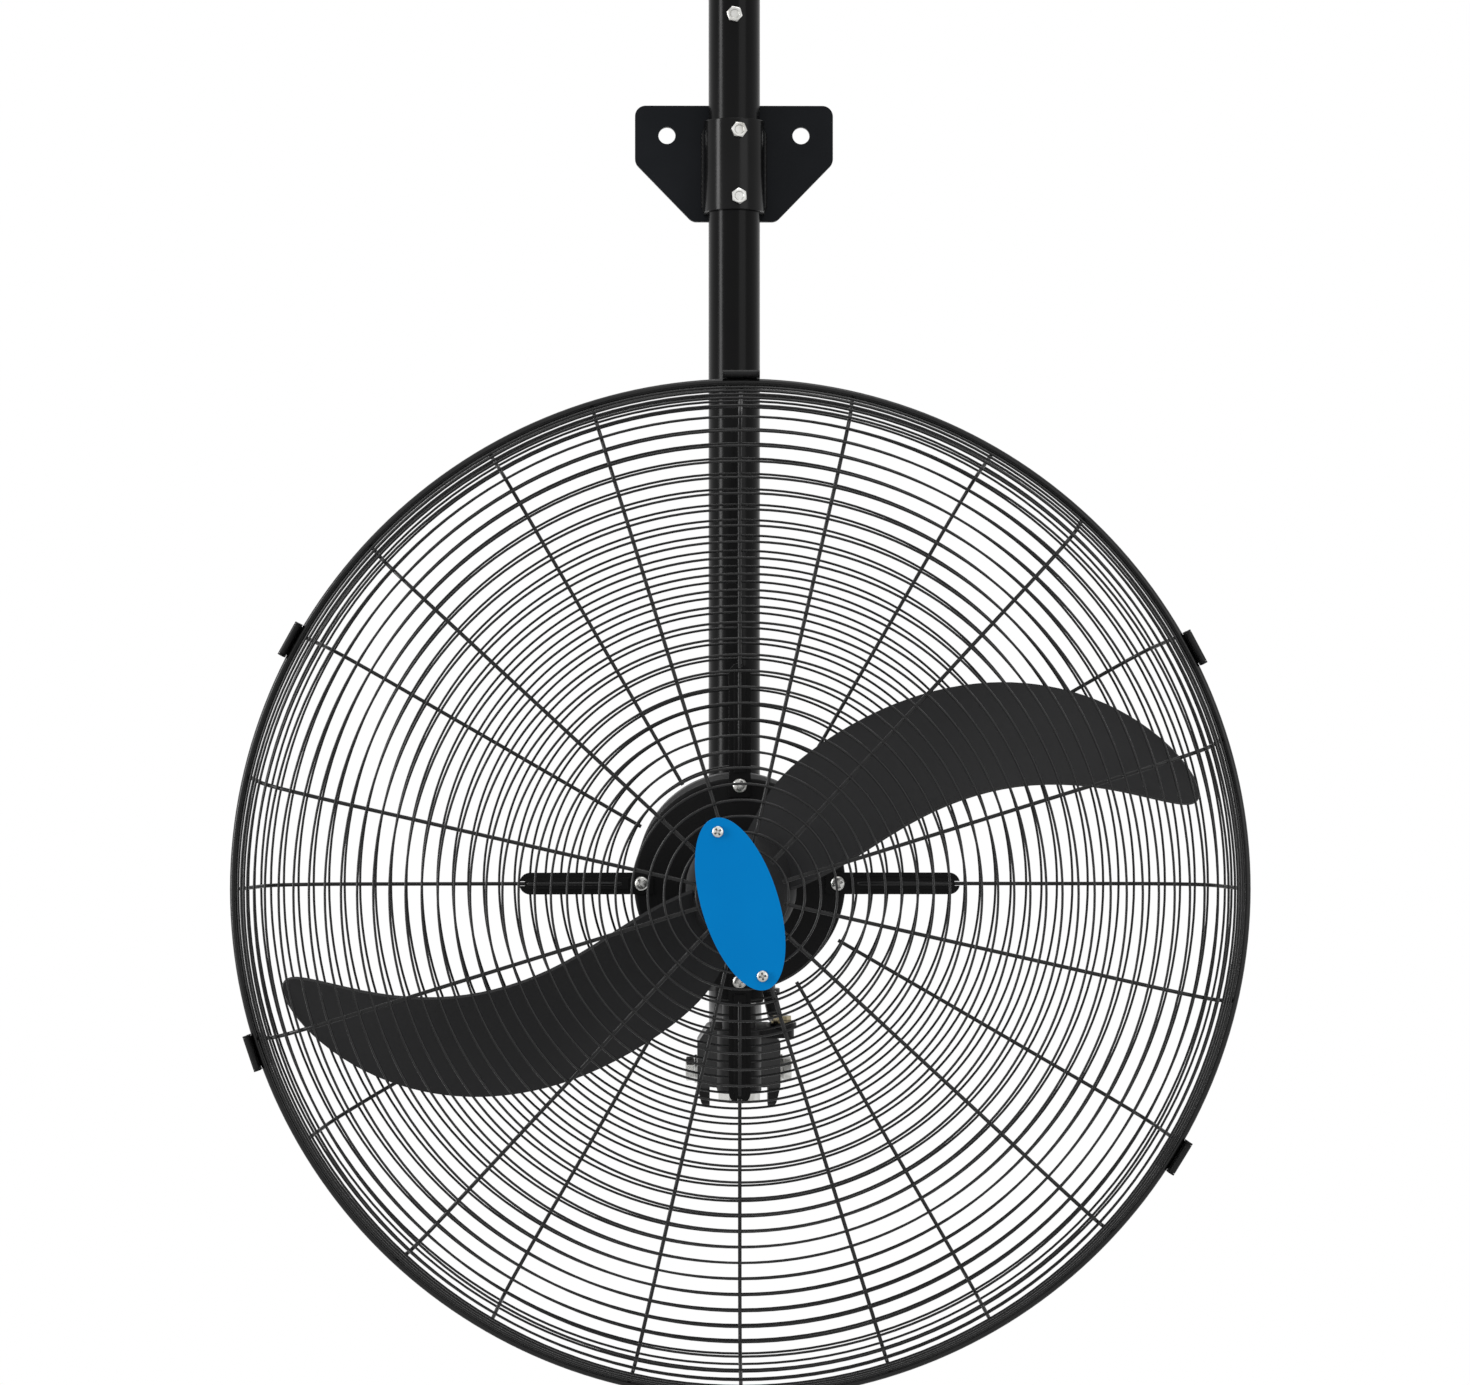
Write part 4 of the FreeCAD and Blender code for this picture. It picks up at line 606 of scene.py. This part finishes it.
def guard_section(offset, lead, inner_r):
    """Half section of a guard half as radius and depth, from the rim: wall, shoulder, blend and face."""
    heading = math.radians(WALL_LEAN)
    depth = RIM_OFFSET + offset * math.sin(heading) + lead * math.cos(heading)
    radius = SPOKE_START_R + offset * math.cos(heading) - lead * math.sin(heading)
    section = [(radius, depth)]
    depth += (WALL_L - lead) * math.cos(heading)
    radius -= (WALL_L - lead) * math.sin(heading)
    section.append((radius, depth))
    for bend_r, turn in ((SHOULDER_R + offset, SHOULDER_TURN), (FACE_BLEND_R + offset, FACE_BLEND_TURN)):
        for step in range(GUARD_BEND_STEPS):
            after = heading + math.radians(turn / GUARD_BEND_STEPS)
            depth += bend_r * (math.sin(after) - math.sin(heading))
            radius -= bend_r * (math.cos(heading) - math.cos(after))
            heading = after
            section.append((radius, depth))
    reach = (radius - inner_r) / math.sin(heading)
    section.append((inner_r, depth + reach * math.cos(heading)))
    return section


def line_mesh(name, points):
    """An open line through points."""
    mesh = bpy.data.meshes.new(name)
    mesh.from_pydata(points, [(index, index + 1) for index in range(len(points) - 1)], [])
    return mesh


def base_curve(tree, entry):
    """The base mesh, a line, as a curve."""
    curve = tree.nodes.new("GeometryNodeMeshToCurve")
    tree.links.new(entry["Base"], curve.inputs["Mesh"])
    return curve.outputs["Curve"]


def evenly(tree, curve, count):
    """The curve cut into evenly spaced points."""
    cut = tree.nodes.new("GeometryNodeResampleCurve")
    tree.links.new(curve, cut.inputs["Curve"])
    tree.links.new(count, cut.inputs["Count"])
    return cut.outputs["Curve"]


def upright_hoop(tree, segments):
    """A circle about the fan axis, with its radius socket."""
    hoop = tree.nodes.new("GeometryNodeCurvePrimitiveCircle")
    hoop.inputs["Resolution"].default_value = segments
    upright = tree.nodes.new("GeometryNodeTransform")
    upright.inputs["Rotation"].default_value = (math.radians(90), 0, 0)
    tree.links.new(hoop.outputs["Curve"], upright.inputs["Geometry"])
    return upright.outputs["Geometry"], hoop.inputs["Radius"]


def wire_along(tree, entry, curve, sides, caps=False):
    """Round wire of the tree's wire radius along a curve."""
    circle = tree.nodes.new("GeometryNodeCurvePrimitiveCircle")
    circle.inputs["Resolution"].default_value = sides
    tube = tree.nodes.new("GeometryNodeCurveToMesh")
    tube.inputs["Fill Caps"].default_value = caps
    tree.links.new(entry["Wire radius"], circle.inputs["Radius"])
    tree.links.new(curve, tube.inputs["Curve"])
    tree.links.new(circle.outputs["Curve"], tube.inputs["Profile Curve"])
    return tube.outputs["Mesh"]


def around_axis(tree, geometry, count, first_angle):
    """Copies of a geometry turned evenly about the fan axis."""
    new, link = tree.nodes.new, tree.links.new
    spots = new("GeometryNodePoints")
    number = new("GeometryNodeInputIndex")
    part = new("ShaderNodeMath")
    part.operation = "DIVIDE"
    turn = new("ShaderNodeMath")
    turn.operation = "MULTIPLY_ADD"
    turn.inputs[1].default_value = -2 * math.pi
    back = new("ShaderNodeMath")
    back.operation = "MULTIPLY"
    back.inputs[1].default_value = -1.0
    about = new("ShaderNodeCombineXYZ")
    copies = new("GeometryNodeInstanceOnPoints")
    link(count, spots.inputs["Count"])
    link(number.outputs["Index"], part.inputs[0])
    link(count, part.inputs[1])
    link(part.outputs["Value"], turn.inputs[0])
    link(first_angle, back.inputs[0])
    link(back.outputs["Value"], turn.inputs[2])
    link(turn.outputs["Value"], about.inputs["Y"])
    link(spots.outputs[0], copies.inputs["Points"])
    link(geometry, copies.inputs["Instance"])
    link(about.outputs["Vector"], copies.inputs["Rotation"])
    return copies.outputs["Instances"]


def ring_tree():
    """Rings about the fan axis, one through each evenly spaced point of the guard line."""
    tree, entry = growth_tree("guard_rings", {"Rings": "Int", "Wire radius": "Float"})
    new, link = tree.nodes.new, tree.links.new
    split = new("ShaderNodeSeparateXYZ")
    keep = new("GeometryNodeStoreNamedAttribute")
    keep.data_type = "FLOAT"
    keep.domain = "POINT"
    keep.inputs["Name"].default_value = "ring_radius"
    onto_axis = new("ShaderNodeCombineXYZ")
    move = new("GeometryNodeSetPosition")
    hoop, hoop_radius = upright_hoop(tree, RING_SEGMENTS)
    hoop_radius.default_value = 1.0
    hoops = new("GeometryNodeInstanceOnPoints")
    real = new("GeometryNodeRealizeInstances")
    even_radius = new("GeometryNodeSetCurveRadius")
    even_radius.inputs["Radius"].default_value = 1.0
    link(new("GeometryNodeInputPosition").outputs["Position"], split.inputs["Vector"])
    link(evenly(tree, base_curve(tree, entry), entry["Rings"]), keep.inputs["Geometry"])
    link(split.outputs["X"], keep.inputs["Value"])
    link(split.outputs["Y"], onto_axis.inputs["Y"])
    link(keep.outputs["Geometry"], move.inputs["Geometry"])
    link(onto_axis.outputs["Vector"], move.inputs["Position"])
    link(move.outputs["Geometry"], hoops.inputs["Points"])
    link(hoop, hoops.inputs["Instance"])
    link(stored(tree, "ring_radius", "FLOAT"), hoops.inputs["Scale"])
    link(hoops.outputs["Instances"], real.inputs["Geometry"])
    link(real.outputs["Geometry"], even_radius.inputs["Curve"])
    wire = wire_along(tree, entry, even_radius.outputs["Curve"], RING_SIDES)
    return close_tree(tree, entry, wire, rounded=True)


def spoke_tree():
    """Spokes that follow the guard line, evenly turned about the fan axis."""
    tree, entry = growth_tree("guard_spokes", {"Spokes": "Int", "First angle": "Float", "Wire radius": "Float"})
    wire = wire_along(tree, entry, base_curve(tree, entry), SPOKE_SIDES, caps=True)
    copies = around_axis(tree, wire, entry["Spokes"], entry["First angle"])
    return close_tree(tree, entry, copies, rounded=True)


def weld_tree():
    """A small weld nugget wherever a ring crosses a spoke."""
    tree, entry = growth_tree("guard_welds", {"Rings": "Int", "Spokes": "Int", "First angle": "Float",
                                              "Nugget": "Float"})
    ball = tree.nodes.new("GeometryNodeMeshUVSphere")
    ball.inputs["Segments"].default_value = NUGGET_SEGMENTS
    ball.inputs["Rings"].default_value = NUGGET_RINGS
    row = tree.nodes.new("GeometryNodeInstanceOnPoints")
    tree.links.new(entry["Nugget"], ball.inputs["Radius"])
    tree.links.new(evenly(tree, base_curve(tree, entry), entry["Rings"]), row.inputs["Points"])
    tree.links.new(ball.outputs["Mesh"], row.inputs["Instance"])
    copies = around_axis(tree, row.outputs["Instances"], entry["Spokes"], entry["First angle"])
    return close_tree(tree, entry, copies, rounded=True)


def rim_tree():
    """The heavy hoop at the edge of a guard half."""
    tree, entry = growth_tree("guard_rim", {"Rim radius": "Float", "Wire radius": "Float"})
    hoop, hoop_radius = upright_hoop(tree, RIM_SEGMENTS)
    tree.links.new(entry["Rim radius"], hoop_radius)
    return close_tree(tree, entry, wire_along(tree, entry, hoop, RIM_SIDES), rounded=True)


wire_black = surface("wire_black", COAT, bump=0.00002, specular=0.3, Peel=1100.0, Patch=18.0, Shine=0.22, Dull=0.32)
front_rim_low, front_rim_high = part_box("front_guard_rim")
rear_rim_low, rear_rim_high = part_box("rear_guard_rim")
RIM_WIRE_R = (front_rim_high.y - front_rim_low.y) / 2
RIM_R = (front_rim_high.x - front_rim_low.x) / 2 - RIM_WIRE_R
RIM_OFFSET = (rear_rim_low.y - front_rim_low.y) / 2
guard_centre = Vector((0.0, (front_rim_low.y + rear_rim_high.y) / 2, (front_rim_low.z + front_rim_high.z) / 2))
SPOKE_WIRE_R = 0.0016
RING_WIRE_R = 0.001
WELD_GAP = 0.0001
SPOKE_START_R = RIM_R - RIM_WIRE_R - SPOKE_WIRE_R - WELD_GAP
RING_OFFSET = SPOKE_WIRE_R + RING_WIRE_R + WELD_GAP
WALL_LEAN = 17.0
WALL_L = 0.042
SHOULDER_R = 0.040
SHOULDER_TURN = 48.0
FACE_BLEND_R = 0.110
FACE_BLEND_TURN = 23.5
GUARD_BEND_STEPS = 16
REAR_INNER_R = 0.097
FRONT_INNER_R = 0.036
FRONT_TURN = math.radians(17.2)
FIRST_RING = 0.009
RING_PITCH = 0.0128
RING_SEGMENTS = 168
RING_SIDES = 8
SPOKE_OVERHANG = 0.003
SPOKE_COUNT = 12
SPOKE_SIDES = 10
NUGGET_R = 0.0015
NUGGET_SEGMENTS = 8
NUGGET_RINGS = 5
RIM_SEGMENTS = 240
RIM_SIDES = 16
RINGS, SPOKES, WELDS, RIMS = ring_tree(), spoke_tree(), weld_tree(), rim_tree()
for half, side, inner_r, first_angle in (("rear", -1, REAR_INNER_R, 0.0), ("front", 1, FRONT_INNER_R, FRONT_TURN)):
    ring_section = guard_section(RING_OFFSET, FIRST_RING, inner_r)
    spoke_section = guard_section(0.0, 0.0, inner_r - SPOKE_OVERHANG)
    weld_section = guard_section(RING_OFFSET - RING_WIRE_R, FIRST_RING, inner_r)
    ring_length = sum(math.dist(start, end) for start, end in zip(ring_section, ring_section[1:]))
    rings = round(ring_length / RING_PITCH) + 1
    turned = {"Spokes": SPOKE_COUNT, "First angle": first_angle}
    made = (
        ("rings", RINGS, ring_section, {"Rings": rings, "Wire radius": RING_WIRE_R},
         ("wall_rings", "face_rings", "inner_rings")),
        ("spokes", SPOKES, spoke_section, {"Wire radius": SPOKE_WIRE_R, **turned}, ("spokes",)),
        ("welds", WELDS, weld_section, {"Rings": rings, "Nugget": NUGGET_R, **turned}, ()),
        ("rim", RIMS, (), {"Rim radius": RIM_R, "Wire radius": RIM_WIRE_R}, ("rim",)),
    )
    for kind, tree, section, values, covered in made:
        name = half + "_wire_" + kind
        line = line_mesh(name + "_line", [(radius, -side * depth, 0.0) for radius, depth in section])
        wire = grown(name, line, tree, {"Finish": wire_black, **values})
        shift = Vector((0.0, -side * RIM_OFFSET, 0.0)) if kind == "rim" else Vector()
        wire.transform(Matrix.Translation(guard_centre + shift))
        piece(name, wire, wire_black, "head", "black_paint", *[half + "_guard_" + node for node in covered])


# Guard arms: four pressed steel straps with a raised rib that holds down a rear spoke.
# A fine round bead stiffens the rib, and one zinc plated cross-head screw
# holds each strap to the motor face.

def pan_head(name, radius, height, recess):
    """A domed screw head with a cross recess, standing from z = 0."""
    profile = [(PAN_POLE_R, 0.0), (radius * PAN_FOOT, 0.0), (radius, height * PAN_FOOT_H), (radius, height * PAN_SIDE)]
    for step in range(1, PAN_STEPS + 1):
        lean = math.pi / 2 * step / PAN_STEPS
        profile.append((max(PAN_POLE_R, radius * math.cos(lean)),
                        height * (PAN_SIDE + (1 - PAN_SIDE) * math.sin(lean))))
    points = [(across * cos, across * sin, up) for across, up in profile for cos, sin in round_steps(PAN_COLUMNS)]
    head = placed(name, sealed(mesh_of(name, points, rows_to_faces(len(profile), PAN_COLUMNS))))
    slot = recess * RECESS_SLOT
    outline = []
    for quarter in range(4):
        turn = Matrix.Rotation(math.radians(90 * quarter), 3, "Z")
        outline += [turn @ Vector(corner) for corner in ((recess, -slot, 0), (recess, slot, 0), (slot, slot, 0))]
    corners = len(outline)
    cross_points = [corner + Vector((0, 0, height * level)) for level in RECESS_LEVELS for corner in outline]
    cross_faces = rows_to_faces(2, corners)
    cross_faces += [tuple(reversed(range(corners))), tuple(range(corners, 2 * corners))]
    tool = placed(name + "_cross", mesh_of(name + "_cross", cross_points, cross_faces))
    cut = head.modifiers.new("recess", "BOOLEAN")
    cut.operation = "DIFFERENCE"
    cut.solver = "EXACT"
    cut.object = tool
    ready = settled(head)
    bpy.data.objects.remove(head)
    bpy.data.objects.remove(tool)
    return smooth(ready, PAN_SHARP)


arm_black = surface("arm_black", COAT, bump=0.00004, specular=0.1, edge=0.0006,
                    Paint=(0.003, 0.003, 0.0031), Dust=(0.005, 0.005, 0.0052),
                    Shine=0.26, Dull=0.4, Patch=16.0)
finish_nodes(arm_black, "guard_arms")

ARM_COUNT = 4
ARM_SLOPE = math.tan(math.radians(90.0 - WALL_LEAN - SHOULDER_TURN - FACE_BLEND_TURN))
RIB_END_R = 0.1778
ARM_BEAD_R = 0.002
ARM_BEAD_DIP = 0.0024
ARM_BEAD_STATIONS = ((0.097, ARM_BEAD_DIP), (0.1, 0.0), (0.1725, 0.0), (0.1755, ARM_BEAD_DIP))
rib_end_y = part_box("guard_arms")[0].y - guard_centre.y
arm_bead_line = line_mesh("arm_bead_line", [(radius, rib_end_y + (RIB_END_R - radius) * ARM_SLOPE + dip, 0.0)
                                            for radius, dip in ARM_BEAD_STATIONS])
arm_beads = grown("arm_beads", arm_bead_line, SPOKES, {"Spokes": ARM_COUNT, "First angle": 0.0,
                                                       "Wire radius": ARM_BEAD_R, "Finish": wire_black})
arm_beads.transform(Matrix.Translation(guard_centre))
piece("arm_beads", arm_beads, wire_black, "head", "black_paint")

PAN_COLUMNS = 32
PAN_STEPS = 6
PAN_POLE_R = 0.00005
PAN_SHARP = 30.0
PAN_FOOT = 0.97
PAN_FOOT_H = 0.12
PAN_SIDE = 0.4
RECESS_SLOT = 0.25
RECESS_LEVELS = (0.45, 1.45)
ARM_SCREW_R = 0.081
ARM_SCREW_SPINS = (20.0, 64.0, 37.0, 5.0)
ARM_HEAD_R = 0.006
ARM_HEAD_H = 0.004
ARM_RECESS = 0.0042
arm_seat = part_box("arm_screws")[0].y + ARM_HEAD_H
arm_places = [(Vector((ARM_SCREW_R * across, arm_seat, guard_centre.z + ARM_SCREW_R * up)), FORWARD, spin)
              for (across, up), spin in zip(round_steps(ARM_COUNT), ARM_SCREW_SPINS)]
arm_head = pan_head("arm_screw_head", ARM_HEAD_R, ARM_HEAD_H, ARM_RECESS)
zinc_heads("arm_screw_heads", arm_head, arm_places, "head", "arm_screws")


# Rim latches: a bracket riveted over the front rim and a spring lever that hooks behind the rear rim.
# Both are pressed from black coated sheet; lifting the tab lets the front half come off.

LATCH_COUNT = 6
latch_black = surface("latch_black", COAT, bump=0.00004, specular=0.2, edge=0.0005,
                      Shine=0.3, Dull=0.44, Patch=40.0)
finish_nodes(latch_black, "latch_brackets", *["latch_lever_%d" % (index + 1) for index in range(LATCH_COUNT)])


# Badge plate: a glossy blue oval, plain, on the middle of the front half.
# Two small cross-head screws pull it against the rings with threaded clips behind the spokes.

badge_blue = surface("badge_blue", PLASTIC, bump=0.00001, specular=0.05,
                     Body=(0.0, 0.22, 0.61), Scuff=(0.0, 0.23, 0.63),
                     Grain=500.0, Flow=20.0, Shine=0.3, Dull=0.4)
finish_nodes(badge_blue, "badge_plate")
finish_nodes(arm_black, "badge_clips")

BADGE_HEAD_R = 0.0045
BADGE_HEAD_H = 0.0024
BADGE_RECESS = 0.003
badge_low, badge_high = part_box("badge_screws")
badge_seat = badge_low.y + BADGE_HEAD_H
badge_places = [(Vector((badge_low.x + BADGE_HEAD_R, badge_seat, badge_high.z - BADGE_HEAD_R)), FORWARD, 33.0),
                (Vector((badge_high.x - BADGE_HEAD_R, badge_seat, badge_low.z + BADGE_HEAD_R)), FORWARD, 10.0)]
badge_head = pan_head("badge_screw_head", BADGE_HEAD_R, BADGE_HEAD_H, BADGE_RECESS)
zinc_heads("badge_screw_heads", badge_head, badge_places, "head", "badge_screws")


# Setting: a pale floor well below the fan, a white surround, and soft lamps in front and above.
# The camera looks straight at the wall from a little above the fan's axis.

def seen_rays(tree):
    """1 for the rays that show a thing straight on, in a reflection or through something clear, else 0."""
    path = tree.nodes.new("ShaderNodeLightPath")
    straight = tree.nodes.new("ShaderNodeMath")
    every = tree.nodes.new("ShaderNodeMath")
    straight.operation = "MAXIMUM"
    every.operation = "MAXIMUM"
    tree.links.new(path.outputs["Is Camera Ray"], straight.inputs[0])
    tree.links.new(path.outputs["Is Glossy Ray"], straight.inputs[1])
    tree.links.new(straight.outputs["Value"], every.inputs[0])
    tree.links.new(path.outputs["Is Transmission Ray"], every.inputs[1])
    return every.outputs["Value"]


FLOOR_DROP = 2.6
FLOOR_Z = cad_box[0].z - FLOOR_DROP
FLOOR_HALF = 6.0
FLOOR_GLOW = 0.85
floor_corners = [(FLOOR_HALF * x, FLOOR_HALF * y, FLOOR_Z) for x, y in ((-1, -1), (1, -1), (1, 1), (-1, 1))]
floor_mesh = mesh_of("pale_floor", floor_corners, [(0, 1, 2, 3)])
floor_pale = surface("floor_pale", PLASTIC, bump=0.0001,
                     Body=(0.8, 0.8, 0.8), Scuff=(0.78, 0.78, 0.78), Shine=0.6, Dull=0.7)
floor_nodes, floor_links = floor_pale.node_tree.nodes, floor_pale.node_tree.links
glow = floor_nodes.new("ShaderNodeEmission")
glow_share = floor_nodes.new("ShaderNodeMath")
glow_share.operation = "MULTIPLY"
glow_share.inputs[1].default_value = FLOOR_GLOW
floor_mix = floor_nodes.new("ShaderNodeMixShader")
floor_links.new(seen_rays(floor_pale.node_tree), glow_share.inputs[0])
floor_links.new(glow_share.outputs["Value"], floor_mix.inputs["Fac"])
floor_links.new(floor_nodes["Principled BSDF"].outputs["BSDF"], floor_mix.inputs[1])
floor_links.new(glow.outputs["Emission"], floor_mix.inputs[2])
floor_links.new(floor_mix.outputs["Shader"], floor_nodes["Material Output"].inputs["Surface"])
floor_mesh.materials.append(floor_pale)
floor = placed("pale_floor", floor_mesh)

SURROUND_LIGHT = 0.52
SURROUND_SEEN = 1.0
world = bpy.data.worlds.new("white_surround")
bpy.context.scene.world = world
world.use_nodes = True
sky, sky_links = world.node_tree.nodes, world.node_tree.links
plain = sky["Background"]
seen = sky.new("ShaderNodeBackground")
for backdrop, strength in ((plain, SURROUND_LIGHT), (seen, SURROUND_SEEN)):
    backdrop.inputs["Color"].default_value = (1, 1, 1, 1)
    backdrop.inputs["Strength"].default_value = strength
choose = sky.new("ShaderNodeMixShader")
sky_links.new(seen_rays(world.node_tree), choose.inputs["Fac"])
sky_links.new(plain.outputs["Background"], choose.inputs[1])
sky_links.new(seen.outputs["Background"], choose.inputs[2])
sky_links.new(choose.outputs["Shader"], sky["World Output"].inputs["Surface"])

LAMP_AIM = Vector((0.0, -0.4, -0.5))
LAMPS = (("key", (-2.7, -1.35, 0.0), 56.0, 0.65, 2.2), ("fill", (1.8, -2.5, 0.1), 13.0, 1.6, 1.8),
         ("top", (0.3, -0.9, 2.0), 14.0, 1.5, 1.2))
for name, place, power, width, height in LAMPS:
    lamp = bpy.data.lights.new(name, "AREA")
    lamp.shape = "RECTANGLE"
    lamp.energy = power
    lamp.size = width
    lamp.size_y = height
    stand = placed(name, lamp)
    stand.location = place
    stand.rotation_euler = (LAMP_AIM - Vector(place)).to_track_quat("-Z", "Y").to_euler()

CAMERA_LENS = 92.96
CAMERA_SENSOR = 36.0
CAMERA_FAR = 50.0
CAMERA_BEFORE_POLE = 3.542
CAMERA_Z = -0.5233
CAMERA_SIDE = -0.03925
CAMERA_YAW = -0.646
lens = bpy.data.cameras.new("camera")
lens.sensor_fit = "HORIZONTAL"
lens.sensor_width = CAMERA_SENSOR
lens.lens = CAMERA_LENS
lens.clip_end = CAMERA_FAR
camera = placed("camera", lens)
camera.location = (CAMERA_SIDE, pole_axis.y - CAMERA_BEFORE_POLE, CAMERA_Z)
camera.rotation_euler = (math.radians(90), 0, math.radians(CAMERA_YAW))
bpy.context.scene.camera = camera
bpy.context.scene.view_settings.view_transform = "Standard"
